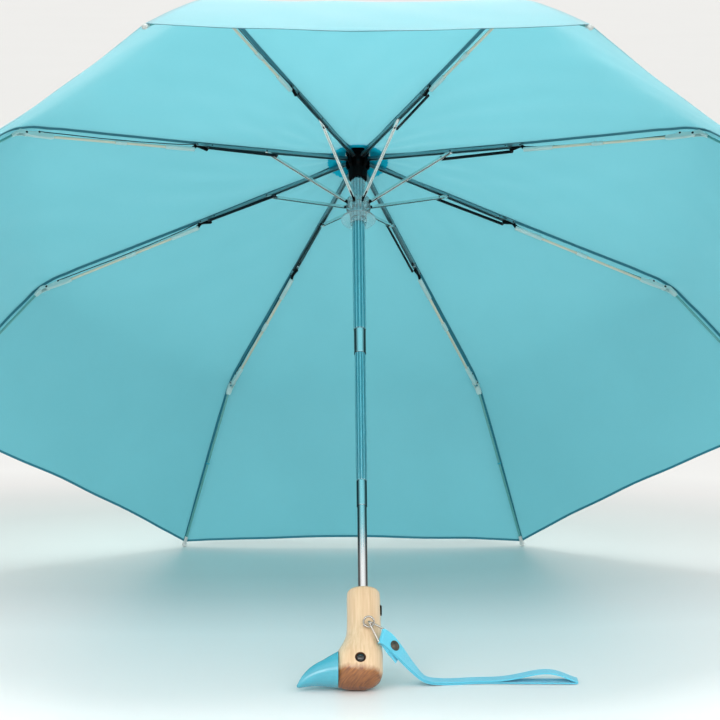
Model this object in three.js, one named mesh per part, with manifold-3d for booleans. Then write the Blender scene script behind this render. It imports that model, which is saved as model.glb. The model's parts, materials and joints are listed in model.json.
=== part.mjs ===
// A compact folding umbrella, open, resting on its handle and on the tips of two of its ribs.
// Millimetres, +Z up. The floor is the plane z = 0 and the shaft leans away from the viewer, towards +Y.
// Everything but the wrist strap is built in the umbrella's own frame: z runs up the shaft, the origin is the
// centre of the crown's pivot ring, and the handle's beak points along -X. Each rib is built in a plane of its
// own, with x outwards, y across the rib and z up the shaft.
import * as THREE from "three";
import { mergeVertices } from "three/addons/utils/BufferGeometryUtils.js";
import Module from "manifold-3d";

const wasm = await Module();
wasm.setup();

// ---- Driving dimensions -------------------------------------------------------------------------------

const RIBS = 8;
const FIRST_RIB_DEGREES = 22.5; // from the side of the umbrella that faces the floor

// Pivots of a rib, as distance from the shaft and height above the crown's pivot ring.
const CROWN_PIVOT = new THREE.Vector2(9.8, 0);
const STRUT_PIVOT = new THREE.Vector2(97.5, -16.3);
const MIDDLE_PIVOT = new THREE.Vector2(169.6, -29.1);
const ELBOW_PIVOT = new THREE.Vector2(339.9, -64.1);
const TIP = new THREE.Vector2(480, -189.7);
const RUNNER_PIVOT = new THREE.Vector2(9.5, -54);

const TOP_TUBE = { outer: 6.2, inner: 5.5, top: -0.3, bottom: -200 };
const TOP_COLLAR = { outer: 5.7, bottom: -227 };
const MIDDLE_TUBE = { outer: 5.2, inner: 4.7, top: -184, bottom: -366.3 };
const MIDDLE_COLLAR = { outer: 4.9, bottom: -393 };
const LOWER_TUBE = { outer: 4.4, top: -376, bottom: -519.4 };
const HEAD_BOTTOM = -577;

const LEG_OUTER = 2.0; // half width of the inner rib's channel
const LEG_INNER = 1.4;
const STRUT_HALF_WIDTH = 1.1;
const ROD_RADIUS = 1.45;
const TAIL_ROD_RADIUS = 1.15;
const FERRULE_RADIUS = 2.2;
const TIP_RADIUS = 2.7;
const MIDDLE_ROD_DROP = 4.9; // the rod runs this far below the middle pivot
const ELBOW_ROD_DROP = 1.5;
const TAIL_ROD_RISE = 4.8; // the tail rod runs this far above the elbow pivot
const PARALLEL_PIN = new THREE.Vector2(-9.6, -4.2); // the link's pin on the middle rib, from its pivot
const STRUT_PIN = 10.4; // the link's pin on the strut, from the strut's pivot

const FABRIC_GAP = 2.9; // from the inner rib's pivots up to the fabric
const FABRIC_THICKNESS = 1.2;
const HEM_INSET = 0.985; // the hem is drawn in a little between two tips
const CLEARANCE = 0.3;

const STRAP_WIDTH = 15;
const STRAP_THICKNESS = 3.2; // two layers of webbing
const STRAP_END_THICKNESS = 9; // where the loop stands open

const STEEL = { color: 0x8b9a97, roughness: 0.35, metalness: 0.9 };
const DARK_STEEL = { color: 0x2f3a3a, roughness: 0.4, metalness: 0.9 };
const CHROME = { color: 0xd5dadc, roughness: 0.12, metalness: 1 };
const FIBREGLASS = { color: 0xd9d2b0, roughness: 0.5, metalness: 0 };
const CLEAR_PLASTIC = { color: 0xdfeeee, roughness: 0.15, metalness: 0 };
const BLACK_PLASTIC = { color: 0x0c0c0d, roughness: 0.45, metalness: 0 };
const WOOD = { color: 0xd8b48a, roughness: 0.6, metalness: 0 };
const TEAL_PAINT = { color: 0x3fa6c4, roughness: 0.45, metalness: 0 };
const TEAL_FABRIC = { color: 0x74c3d0, roughness: 0.85, metalness: 0 };

// ---- Solids ---------------------------------------------------------------------------------------------

/** A manifold-3d solid of a closed three.js geometry. */
function solid(geometry) {
  const bare = geometry.clone();
  for (const name of Object.keys(bare.attributes)) {
    if (name !== "position") bare.deleteAttribute(name);
  }
  const merged = mergeVertices(bare, 1e-4);
  return new wasm.Manifold(
    new wasm.Mesh({
      numProp: 3,
      vertProperties: new Float32Array(merged.attributes.position.array),
      triVerts: new Uint32Array(merged.index.array),
    }),
  );
}

/** The three.js geometry of a manifold-3d solid. */
function geometryOf(body) {
  const mesh = body.getMesh();
  const geometry = new THREE.BufferGeometry();
  geometry.setAttribute("position", new THREE.BufferAttribute(mesh.vertProperties, 3));
  geometry.setIndex(new THREE.BufferAttribute(mesh.triVerts, 1));
  return geometry;
}

/** All the given geometries joined, with the ones in the second list cut away. */
function shaped(joined, cut = []) {
  let body = joined.map(solid).reduce((sum, next) => sum.add(next));
  for (const piece of cut) body = body.subtract(solid(piece));
  return geometryOf(body);
}

/** A plate drawn by its outline in x and z, from yFrom to yTo. */
function plate(outline, yFrom, yTo) {
  const geometry = new THREE.ExtrudeGeometry(outline, {
    depth: yTo - yFrom,
    bevelEnabled: false,
    curveSegments: 5,
  });
  geometry.rotateX(Math.PI / 2);
  geometry.translate(0, yTo, 0);
  return geometry;
}

/** The outline of a straight bar with round ends between two points. */
function bar(from, to, radius) {
  const along = Math.atan2(to.y - from.y, to.x - from.x);
  const shape = new THREE.Shape();
  shape.absarc(from.x, from.y, radius, along + Math.PI / 2, along + 1.5 * Math.PI, false);
  shape.absarc(to.x, to.y, radius, along - Math.PI / 2, along + Math.PI / 2, false);
  shape.closePath();
  return shape;
}

/** The outline of an upright rectangle. */
function rectangle(xFrom, xTo, zFrom, zTo) {
  return new THREE.Shape([
    new THREE.Vector2(xFrom, zFrom),
    new THREE.Vector2(xTo, zFrom),
    new THREE.Vector2(xTo, zTo),
    new THREE.Vector2(xFrom, zTo),
  ]);
}

/** A round rod between two points of a rib's plane. */
function rod(from, to, radius, sides = 8) {
  const length = from.distanceTo(to);
  const geometry = new THREE.CylinderGeometry(radius, radius, length, sides);
  geometry.rotateZ(-Math.PI / 2);
  geometry.translate(length / 2, 0, 0);
  geometry.rotateY(-Math.atan2(to.y - from.y, to.x - from.x));
  geometry.translate(from.x, 0, from.y);
  return geometry;
}

/** A closed lathe around z of [radius, z] pairs. */
function turned(profile, sides = 32) {
  const points = profile.map(([radius, z]) => new THREE.Vector2(radius, z));
  if (profile[0][0] > 0) points.push(points[0].clone());
  const geometry = new THREE.LatheGeometry(points, sides);
  geometry.rotateX(Math.PI / 2);
  return solid(geometry).volume() > 0 ? geometry : flipped(geometry);
}

/** A geometry with its faces turned the other way. */
function flipped(geometry) {
  const index = geometry.index.array;
  for (let i = 0; i < index.length; i += 3) {
    [index[i + 1], index[i + 2]] = [index[i + 2], index[i + 1]];
  }
  return geometry;
}

/** A pipe around z. */
function pipe(outer, inner, zTop, zBottom, sides = 24) {
  return turned(
    [
      [outer, zBottom],
      [outer, zTop],
      [inner, zTop],
      [inner, zBottom],
    ],
    sides,
  );
}

/** A skin over rings of points, closed by a cap at each end. */
function lofted(rings) {
  const count = rings[0].length;
  const middle = (ring) =>
    ring.reduce((sum, p) => sum.add(p), new THREE.Vector3()).divideScalar(ring.length);
  const points = [...rings.flat(), middle(rings[0]), middle(rings[rings.length - 1])];
  const faces = [];
  for (let i = 0; i < rings.length - 1; i += 1) {
    for (let j = 0; j < count; j += 1) {
      const next = (j + 1) % count;
      const [a, b, c, d] = [i * count + j, i * count + next, (i + 1) * count + next, (i + 1) * count + j];
      faces.push(a, b, c, a, c, d);
    }
  }
  const [start, end] = [points.length - 2, points.length - 1];
  const last = (rings.length - 1) * count;
  for (let j = 0; j < count; j += 1) {
    const next = (j + 1) % count;
    faces.push(start, next, j);
    faces.push(end, last + j, last + next);
  }
  const geometry = new THREE.BufferGeometry().setFromPoints(points);
  geometry.setIndex(faces);
  return solid(geometry).volume() > 0 ? geometry : flipped(geometry);
}

/** A curve's value at x, for a smooth line through [x, value] pairs. */
function smooth(pairs) {
  const line = new THREE.SplineCurve(pairs.map(([x, value]) => new THREE.Vector2(x, value)));
  const points = line.getPoints(pairs.length * 24);
  const rising = points[points.length - 1].x > points[0].x;
  return (x) => {
    const at = points.findIndex((p) => (rising ? p.x >= x : p.x <= x));
    if (at < 1) return at < 0 ? points[points.length - 1].y : points[0].y;
    const [before, after] = [points[at - 1], points[at]];
    const share = (x - before.x) / (after.x - before.x);
    return before.y + share * (after.y - before.y);
  };
}

function named(name, geometry, look) {
  const mesh = new THREE.Mesh(geometry, new THREE.MeshStandardMaterial(look));
  mesh.name = name;
  return mesh;
}

// ---- Ribs -----------------------------------------------------------------------------------------------

/** A group at a pivot of the rib's plane, whose x runs towards the target. */
function memberAt(pivot, target, ...meshes) {
  const group = new THREE.Group();
  group.position.set(pivot.x, 0, pivot.y);
  group.rotation.y = -Math.atan2(target.y - pivot.y, target.x - pivot.x);
  group.add(...meshes);
  return group;
}

/** A steel channel, open below, that ends in a fork around the middle rib's bracket. */
function innerRib(number) {
  const length = CROWN_PIVOT.distanceTo(MIDDLE_PIVOT);
  const height = 1.6;
  const forkLength = 9;
  const web = 0.6;
  const outside = plate(bar(new THREE.Vector2(0, 0), new THREE.Vector2(length, 0), height), -LEG_OUTER, LEG_OUTER);
  const hollow = plate(rectangle(-5, length + 5, -5, height - web), -LEG_INNER, LEG_INNER);
  const fork = plate(rectangle(length - forkLength, length + 5, -5, 5), -LEG_INNER, LEG_INNER);
  return named(`inner_rib_${number}`, shaped([outside], [hollow, fork]), STEEL);
}

/** The bar from the runner up to the inner rib. */
function strut(number) {
  const length = STRUT_PIVOT.distanceTo(RUNNER_PIVOT);
  const outline = bar(new THREE.Vector2(0, 0), new THREE.Vector2(length, 0), 1.0);
  return named(`strut_${number}`, plate(outline, -STRUT_HALF_WIDTH, STRUT_HALF_WIDTH), CHROME);
}

/** Where the link meets the strut and the middle rib. */
const strutPin = STRUT_PIVOT.clone().lerp(RUNNER_PIVOT, STRUT_PIN / STRUT_PIVOT.distanceTo(RUNNER_PIVOT));
const middleAlong = Math.atan2(ELBOW_PIVOT.y - MIDDLE_PIVOT.y, ELBOW_PIVOT.x - MIDDLE_PIVOT.x);
const middlePin = PARALLEL_PIN.clone().rotateAround(new THREE.Vector2(), middleAlong).add(MIDDLE_PIVOT);

/** The link that runs beside the inner rib and turns the middle rib as the strut turns. */
function link(number) {
  const sideFrom = 2.5;
  const sideTo = 3.8;
  const length = middlePin.distanceTo(strutPin);
  const outline = bar(new THREE.Vector2(0, 0), new THREE.Vector2(length, 0), 1.5);
  return named(`link_${number}`, plate(outline, sideFrom, sideTo), DARK_STEEL);
}

/** Bracket, ferrule, fibreglass rod, clip and elbow fitting: one rigid member. */
function middleRib(number) {
  const length = MIDDLE_PIVOT.distanceTo(ELBOW_PIVOT);
  const pivot = new THREE.Vector2(0, 0);
  const rodStart = new THREE.Vector2(5, -MIDDLE_ROD_DROP);
  const rodEnd = new THREE.Vector2(length - 6, -ELBOW_ROD_DROP);
  const ferruleStart = new THREE.Vector2(4, -MIDDLE_ROD_DROP);
  const ferruleEnd = rodStart.clone().lerp(rodEnd, 0.19);
  const clipStart = rodStart.clone().lerp(rodEnd, 0.42);
  const clipEnd = rodStart.clone().lerp(rodEnd, 0.49);
  const tongue = new THREE.Vector2(6, -MIDDLE_ROD_DROP);
  const fitting = new THREE.Shape([
    new THREE.Vector2(length - 26, -3.9),
    new THREE.Vector2(length - 8, -3.1),
    new THREE.Vector2(length, -2.2),
    new THREE.Vector2(length + 1.6, -1.5),
    new THREE.Vector2(length + 2.2, 0),
    new THREE.Vector2(length + 1.6, 1.5),
    new THREE.Vector2(length, 2.2),
    new THREE.Vector2(length - 6, 1.0),
    new THREE.Vector2(length - 26, 0.4),
  ]);
  const parts = [
    plate(bar(pivot, PARALLEL_PIN, 1.5), -STRUT_HALF_WIDTH, STRUT_HALF_WIDTH),
    plate(bar(pivot, tongue, 1.5), -STRUT_HALF_WIDTH, STRUT_HALF_WIDTH),
    rod(rodStart, rodEnd, ROD_RADIUS),
    rod(ferruleStart, ferruleEnd, FERRULE_RADIUS),
    rod(clipStart, clipEnd, FERRULE_RADIUS),
    plate(fitting, -1.7, 1.7),
  ];
  return named(`middle_rib_${number}`, shaped(parts), FIBREGLASS);
}

/** Cheeks beside the elbow fitting, the tail rod and its tip. */
function tailRib(number) {
  const reach = tailReach();
  const cheek = new THREE.Shape();
  cheek.absarc(0, 0, 2.0, Math.PI, 1.8 * Math.PI, false);
  cheek.lineTo(8, TAIL_ROD_RISE - 1.2);
  cheek.lineTo(8, TAIL_ROD_RISE + 1.2);
  cheek.lineTo(2.5, TAIL_ROD_RISE + 1.2);
  cheek.closePath();
  const bridge = rectangle(5.4, 14, TAIL_ROD_RISE - 1.2, TAIL_ROD_RISE + 1.2);
  const parts = [
    plate(cheek, 2.0, 2.7),
    plate(cheek, -2.7, -2.0),
    plate(bridge, -2.7, 2.7),
    rod(new THREE.Vector2(10, TAIL_ROD_RISE), new THREE.Vector2(reach, TAIL_ROD_RISE), TAIL_ROD_RADIUS),
    new THREE.SphereGeometry(TIP_RADIUS, 10, 8).translate(reach, 0, TAIL_ROD_RISE),
  ];
  return named(`tail_rib_${number}`, shaped(parts), STEEL);
}

/** The length of the tail rod along its own line, from abreast of the elbow pivot to the tip. */
function tailReach() {
  return Math.sqrt(ELBOW_PIVOT.distanceToSquared(TIP) - TAIL_ROD_RISE ** 2);
}

/** The point that the tail rib's own x runs towards: the tip lies TAIL_ROD_RISE above that line. */
function tailTarget() {
  const lean = Math.asin(TAIL_ROD_RISE / ELBOW_PIVOT.distanceTo(TIP));
  return TIP.clone().rotateAround(ELBOW_PIVOT, -lean);
}

function rib(number) {
  const angle = THREE.MathUtils.degToRad(FIRST_RIB_DEGREES + (number - 1) * (360 / RIBS));
  const group = new THREE.Group();
  group.rotation.z = Math.PI / 2 - angle;
  group.add(
    memberAt(CROWN_PIVOT, MIDDLE_PIVOT, innerRib(number)),
    memberAt(STRUT_PIVOT, RUNNER_PIVOT, strut(number)),
    memberAt(middlePin, strutPin, link(number)),
    memberAt(MIDDLE_PIVOT, ELBOW_PIVOT, middleRib(number)),
    memberAt(ELBOW_PIVOT, tailTarget(), tailRib(number)),
  );
  return group;
}

// ---- Shaft ----------------------------------------------------------------------------------------------

/** The same cutter at each rib. */
function aroundRibs(cutter) {
  return Array.from({ length: RIBS }, (_, i) => {
    const angle = THREE.MathUtils.degToRad(90 - FIRST_RIB_DEGREES - i * (360 / RIBS));
    return cutter.clone().rotateZ(angle);
  });
}

function crown() {
  const body = turned([
    [0, 8],
    [7, 7.6],
    [11, 5.4],
    [11.8, 3.6],
    [11.8, -8],
    [11, -9],
    [8, -9.6],
    [7.4, -23],
    [6.5, -23],
    [6.5, 0.4],
    [0, 0.4],
  ]);
  const slot = plate(rectangle(7.6, 14, -12, 2.8), -2.4, 2.4);
  return named("crown", shaped([body], aroundRibs(slot)), BLACK_PLASTIC);
}

function runner() {
  const z = RUNNER_PIVOT.y;
  const body = turned([
    [6.5, z + 28],
    [7.5, z + 28],
    [7.5, z + 7],
    [11, z + 6],
    [12, z + 4.6],
    [12, z - 4.6],
    [11, z - 6],
    [8, z - 7.5],
    [8, z - 16],
    [16.5, z - 16.4],
    [16.9, z - 17.2],
    [16.5, z - 18],
    [8, z - 18.4],
    [8, z - 22],
    [6.5, z - 22],
  ]);
  const slot = plate(rectangle(8.1, 20, z - 21, z + 10), -1.5, 1.5);
  return named("runner", shaped([body], aroundRibs(slot)), CLEAR_PLASTIC);
}

function tubes() {
  const { top, bottom } = LOWER_TUBE;
  const round = 24;
  const lower = turned([[0, bottom], [LOWER_TUBE.outer, bottom], [LOWER_TUBE.outer, top], [0, top]], round);
  const middle = pipe(MIDDLE_TUBE.outer, MIDDLE_TUBE.inner, MIDDLE_TUBE.top, MIDDLE_TUBE.bottom, round);
  const middleCollar = pipe(
    MIDDLE_COLLAR.outer,
    MIDDLE_TUBE.inner,
    MIDDLE_TUBE.bottom - CLEARANCE,
    MIDDLE_COLLAR.bottom,
    round,
  );
  const upper = pipe(TOP_TUBE.outer, TOP_TUBE.inner, TOP_TUBE.top, TOP_TUBE.bottom, round);
  const collar = pipe(TOP_COLLAR.outer, TOP_TUBE.inner, TOP_TUBE.bottom - CLEARANCE, TOP_COLLAR.bottom, round);
  return [
    named("lower_tube", lower, CHROME),
    named("middle_tube", middle, STEEL),
    named("middle_collar", middleCollar, CHROME),
    named("top_tube", upper, STEEL),
    named("top_collar", collar, STEEL),
  ];
}

/** The bent spring catch that holds the runner when the umbrella is open, in the top tube's wall. */
function runnerCatch() {
  const wedge = new THREE.Shape([
    new THREE.Vector2(TOP_TUBE.outer + CLEARANCE, -78),
    new THREE.Vector2(TOP_TUBE.outer + 2.2, -78.4),
    new THREE.Vector2(TOP_TUBE.outer + 2.2, -79.6),
    new THREE.Vector2(TOP_TUBE.outer + CLEARANCE, -90),
  ]);
  const turn = THREE.MathUtils.degToRad(90);
  return named("runner_catch", plate(wedge, -1.2, 1.2).rotateZ(turn), STEEL);
}

function topCap() {
  const body = turned([
    [0, 11.2],
    [10.5, 11.2],
    [11, 12],
    [9.5, 14.6],
    [5.5, 16.4],
    [3.6, 17.4],
    [3.2, 20.4],
    [1.8, 21.8],
    [0, 22.1],
  ]);
  return named("top_cap", body, BLACK_PLASTIC);
}

// ---- Canopy ---------------------------------------------------------------------------------------------

/** The fabric's line above a rib, from the crown to the tip. */
function fabricLine() {
  const above = (point, out, up) => new THREE.Vector2(point.x + out, point.y + up);
  return [
    new THREE.Vector2(12.5, 8.8),
    above(CROWN_PIVOT, 20, -0.2),
    above(STRUT_PIVOT, 0, FABRIC_GAP + 0.4),
    above(MIDDLE_PIVOT, 0, FABRIC_GAP + 0.3),
    new THREE.Vector2(248, -39.2),
    above(ELBOW_PIVOT, -14, 11.4),
    above(ELBOW_PIVOT, 4.5, 6.5),
    above(ELBOW_PIVOT, 30, -12.6),
    above(ELBOW_PIVOT, 84, -64.0),
    above(TIP, 0, 3.4),
  ];
}

/** Rings of the canopy's skin: straight between two ribs at the hem, as tight cloth is. */
function canopyRings(lift) {
  const perGore = 4;
  const count = RIBS * perGore;
  const half = Math.PI / RIBS;
  return fabricLine().map((station, row, all) => {
    const share = row / (all.length - 1);
    return Array.from({ length: count }, (_, j) => {
      const angle = THREE.MathUtils.degToRad(90 - FIRST_RIB_DEGREES) - (j / count) * 2 * Math.PI;
      const fromMiddle = ((j % perGore) / perGore) * 2 * half - half;
      const chord = Math.cos(half) / Math.cos(fromMiddle);
      const inset = 1 - (1 - HEM_INSET) * share * (1 - Math.abs(fromMiddle) / half);
      const radius = station.x * chord * inset;
      return new THREE.Vector3(radius * Math.cos(angle), radius * Math.sin(angle), station.y + lift);
    });
  });
}

function canopy() {
  const under = canopyRings(0);
  const over = canopyRings(FABRIC_THICKNESS);
  return named("canopy", lofted([...under, ...over.reverse()].reverse()), TEAL_FABRIC);
}

// ---- Handle ---------------------------------------------------------------------------------------------

const handleLeft = smooth([
  [-477, -7.5],
  [-479, -11.6],
  [-484, -13.6],
  [-492, -14.2],
  [-510, -14.2],
  [-524, -15.0],
  [-534, -18.6],
  [-543, -23.6],
  [-552, -26],
  [-562, -26],
  [-570, -22],
  [-575, -14],
  [-577, -5],
]);
const handleRight = smooth([
  [-477, 7.5],
  [-479, 11.8],
  [-484, 14.0],
  [-492, 14.7],
  [-510, 14.8],
  [-530, 15.2],
  [-548, 16.4],
  [-560, 16.4],
  [-568, 14.6],
  [-574, 10],
  [-577, 5],
]);
const handleDepth = smooth([
  [-477, 7.5],
  [-479, 11.6],
  [-484, 13.8],
  [-492, 14.4],
  [-515, 14.4],
  [-534, 16.2],
  [-552, 18.2],
  [-562, 17.6],
  [-570, 13.4],
  [-575, 8],
  [-577, 4],
]);

/** A ring of a rounded section around z. */
function ringAt(z, left, right, depth, roundness, sides = 28) {
  const middle = (left + right) / 2;
  const half = (right - left) / 2;
  return Array.from({ length: sides }, (_, i) => {
    const angle = (i / sides) * 2 * Math.PI;
    const [c, s] = [Math.cos(angle), Math.sin(angle)];
    const x = middle + half * Math.sign(c) * Math.abs(c) ** roundness;
    return new THREE.Vector3(x, depth * Math.sign(s) * Math.abs(s) ** roundness, z);
  });
}

const BEAK_JOINT = -22.9;
const EYE = { x: -3.3, z: -555, radius: 4.4 };
const BUTTON = { z: -500, halfHeight: 5.2, halfWidth: 3.4, travel: 2.5 };
const SCREW_EYE = {
  base: new THREE.Vector3(0.9, -12.6, -521.4),
  centre: new THREE.Vector3(4.4, -20, -521.3),
  faces: new THREE.Vector3(0, 0.845, 0.535),
  radius: 4.6,
  wire: 0.8,
};
// The strap's ring: two corners through the screw eye, and the two ends of the bar that holds the strap.
const RING_WIRE = 0.8;
const RING_REACH = 2.3;
const RING_BAR = [new THREE.Vector3(18.5, -15, -526.5), new THREE.Vector3(14.1, -14.4, -540.9)];

/** The wooden neck and head, with the hole for the tube, the eye sockets, the button's pocket and a flat
 *  for the beak. */
function handle() {
  const heights = [-477, -477.6, -479, -481.5, -485, -492, -502, -514, -524, -531, -537, -543, -549, -555];
  heights.push(-561, -565.5, -569, -572, -574.5, -576.2, HEAD_BOTTOM);
  const body = lofted(heights.map((z) => ringAt(z, handleLeft(z), handleRight(z), handleDepth(z), 0.94)));
  const bore = turned([[0, LOWER_TUBE.bottom - 0.4], [4.8, LOWER_TUBE.bottom - 0.4], [4.8, -470], [0, -470]]);
  const cheek = new THREE.BoxGeometry(30, 60, 80).translate(BEAK_JOINT - 15, 0, -560);
  const socket = turned([[0, -60], [EYE.radius + 0.5, -60], [EYE.radius + 0.5, 60], [0, 60]], 20);
  socket.rotateX(Math.PI / 2).translate(EYE.x, 0, EYE.z);
  const core = new THREE.BoxGeometry(40, 2 * eyeFloor(), 40).translate(EYE.x, 0, EYE.z);
  const sockets = geometryOf(solid(socket).subtract(solid(core)));
  const pocket = new THREE.BoxGeometry(16, 2 * BUTTON.halfWidth + 0.8, 2 * BUTTON.halfHeight + 0.8);
  pocket.translate(handleRight(BUTTON.z) - 7.4 + 8, 0, BUTTON.z);
  const shank = straightRod(towards(SCREW_EYE.base, screwEyeFoot(), -0.4), screwEyeFoot(), 1.3);
  return named("handle", shaped([body], [bore, cheek, sockets, pocket, shank]), WOOD);
}

/** How far from the middle of the head the eye sockets end. */
function eyeFloor() {
  return handleDepth(EYE.z) - 2.2;
}

/** The painted beak: flat against the head, curving down to a narrow tip. */
function beak() {
  const length = 36.4;
  const top = smooth([[0, -542.6], [5, -545.4], [12, -550], [23, -556.4], [31, -564.5], [36.4, -573.4]]);
  const bottom = smooth([[0, -574.6], [8, -573.8], [18, -573.4], [28, -574.6], [36.4, -576.4]]);
  const width = smooth([[0, 15.2], [10, 13.6], [20, 10.6], [30, 6.4], [36.4, 2.4]]);
  const steps = 12;
  const rings = Array.from({ length: steps + 1 }, (_, i) => {
    const x = (i / steps) * length;
    const [high, low] = [top(x), bottom(x)];
    return Array.from({ length: 20 }, (_, j) => {
      const angle = (j / 20) * 2 * Math.PI;
      const y = width(x) * Math.sign(Math.cos(angle)) * Math.abs(Math.cos(angle)) ** 0.9;
      const z = (high + low) / 2 + ((high - low) / 2) * Math.sign(Math.sin(angle)) * Math.abs(Math.sin(angle)) ** 0.9;
      return new THREE.Vector3(BEAK_JOINT - CLEARANCE - x, y, z);
    });
  });
  return named("beak", lofted(rings), TEAL_PAINT);
}

/** A domed eye in its socket, on the side that the sign says. */
function eye(name, side) {
  const floor = eyeFloor() + CLEARANCE;
  const dome = turned(
    [[0, floor], [EYE.radius, floor], [EYE.radius, floor + 1], [3.4, floor + 2.2], [1.8, floor + 2.9], [0, floor + 3.1]],
    20,
  );
  dome.rotateX((side * -Math.PI) / 2).translate(EYE.x, 0, EYE.z);
  return named(name, dome, BLACK_PLASTIC);
}

function button() {
  const outer = handleRight(BUTTON.z) + 1.2;
  const depth = 5.6;
  const outline = new THREE.Shape();
  const { halfWidth, halfHeight } = BUTTON;
  outline.absarc(0, halfHeight - halfWidth, halfWidth, 0, Math.PI, false);
  outline.absarc(0, halfWidth - halfHeight, halfWidth, Math.PI, 2 * Math.PI, false);
  outline.closePath();
  const cap = new THREE.ExtrudeGeometry(outline, { depth, bevelEnabled: false, curveSegments: 8 });
  cap.rotateX(Math.PI / 2).rotateZ(Math.PI / 2).translate(outer - depth, 0, BUTTON.z);
  return named("release_button", cap, BLACK_PLASTIC);
}

/** A helix of round wire. */
class Helix extends THREE.Curve {
  constructor(radius, turns, height) {
    super();
    Object.assign(this, { radius, turns, height });
  }

  getPoint(t, target = new THREE.Vector3()) {
    const angle = t * this.turns * 2 * Math.PI;
    return target.set(this.radius * Math.cos(angle), this.radius * Math.sin(angle), t * this.height);
  }
}

/** A round wire along a curve. */
function wire(curve, radius, steps, sides = 8) {
  const section = new THREE.Shape();
  section.absarc(0, 0, radius, 0, 2 * Math.PI, false);
  const options = { extrudePath: curve, steps, bevelEnabled: false, curveSegments: sides };
  return new THREE.ExtrudeGeometry(section, options);
}

/** The long spring inside the top tube that opens the umbrella. */
function openingSpring() {
  const turns = 9;
  const helix = new Helix(3.6, turns, 150);
  const geometry = wire(helix, 0.6, turns * 10, 6);
  geometry.translate(0, 0, -170);
  return named("opening_spring", geometry, STEEL);
}

/** A round rod between two points. */
function straightRod(from, to, radius, sides = 10) {
  const length = from.distanceTo(to);
  const geometry = new THREE.CylinderGeometry(radius, radius, length, sides).translate(0, length / 2, 0);
  const turn = new THREE.Quaternion().setFromUnitVectors(
    new THREE.Vector3(0, 1, 0),
    to.clone().sub(from).normalize(),
  );
  return geometry.applyQuaternion(turn).translate(...from);
}

/** The point of the screw eye's ring that its shank runs to. */
function screwEyeFoot() {
  const { base, centre, faces, radius } = SCREW_EYE;
  const facing = faces.clone().normalize();
  const inPlane = base.clone().sub(centre);
  inPlane.addScaledVector(facing, -inPlane.dot(facing)).setLength(radius);
  return inPlane.add(centre);
}

/** The screw eye in the neck: a ring that faces up the shaft and outwards, on a short shank. */
function screwEye() {
  const { base, centre, faces, radius, wire: thick } = SCREW_EYE;
  const facing = faces.clone().normalize();
  const turn = new THREE.Quaternion().setFromUnitVectors(new THREE.Vector3(0, 0, 1), facing);
  const ring = new THREE.TorusGeometry(radius, thick, 8, 24).applyQuaternion(turn).translate(...centre);
  const shank = straightRod(base, screwEyeFoot(), 1.0);
  return named("screw_eye", shaped([ring, shank]), CHROME);
}

// ---- Wrist strap ----------------------------------------------------------------------------------------

/** The wire ring that joins the screw eye and the strap, with rounded corners. */
function strapRing() {
  const reach = SCREW_EYE.faces.clone().setLength(RING_REACH);
  const { centre } = SCREW_EYE;
  const corners = [centre.clone().sub(reach), centre.clone().add(reach), ...RING_BAR];
  const rounding = 1.9;
  const path = new THREE.CurvePath();
  for (let i = 0; i < corners.length; i += 1) {
    const [a, b, c] = [0, 1, 2].map((step) => corners[(i + step) % corners.length]);
    const before = towards(b, a, rounding);
    const after = towards(b, c, rounding);
    path.add(new THREE.LineCurve3(towards(a, b, rounding), before));
    path.add(new THREE.QuadraticBezierCurve3(before, b, after));
  }
  const points = path.getSpacedPoints(48);
  points.pop();
  const side = planeNormal([centre, ...RING_BAR]);
  const rings = points.map((point, i) => {
    const along = points[(i + 1) % points.length].clone().sub(points[(i + points.length - 1) % points.length]);
    const out = new THREE.Vector3().crossVectors(along, side).normalize();
    const across = new THREE.Vector3().crossVectors(out, along).normalize();
    return Array.from({ length: 8 }, (_, j) => {
      const angle = (j / 8) * 2 * Math.PI;
      return point
        .clone()
        .addScaledVector(out, Math.cos(angle) * RING_WIRE)
        .addScaledVector(across, Math.sin(angle) * RING_WIRE);
    });
  });
  return named("strap_ring", closedTube(rings), CHROME);
}

/** The point at a distance from one point towards another. */
function towards(from, to, distance) {
  return from.clone().add(to.clone().sub(from).setLength(distance));
}

function planeNormal([a, b, c]) {
  return new THREE.Vector3().crossVectors(b.clone().sub(a), c.clone().sub(a)).normalize();
}

/** A tube whose last ring joins its first. */
function closedTube(rings) {
  const count = rings[0].length;
  const faces = [];
  for (let i = 0; i < rings.length; i += 1) {
    const after = (i + 1) % rings.length;
    for (let j = 0; j < count; j += 1) {
      const next = (j + 1) % count;
      const [a, b, c, d] = [i * count + j, i * count + next, after * count + next, after * count + j];
      faces.push(a, b, c, a, c, d);
    }
  }
  const geometry = new THREE.BufferGeometry().setFromPoints(rings.flat());
  geometry.setIndex(faces);
  return solid(geometry).volume() > 0 ? geometry : flipped(geometry);
}

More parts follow.
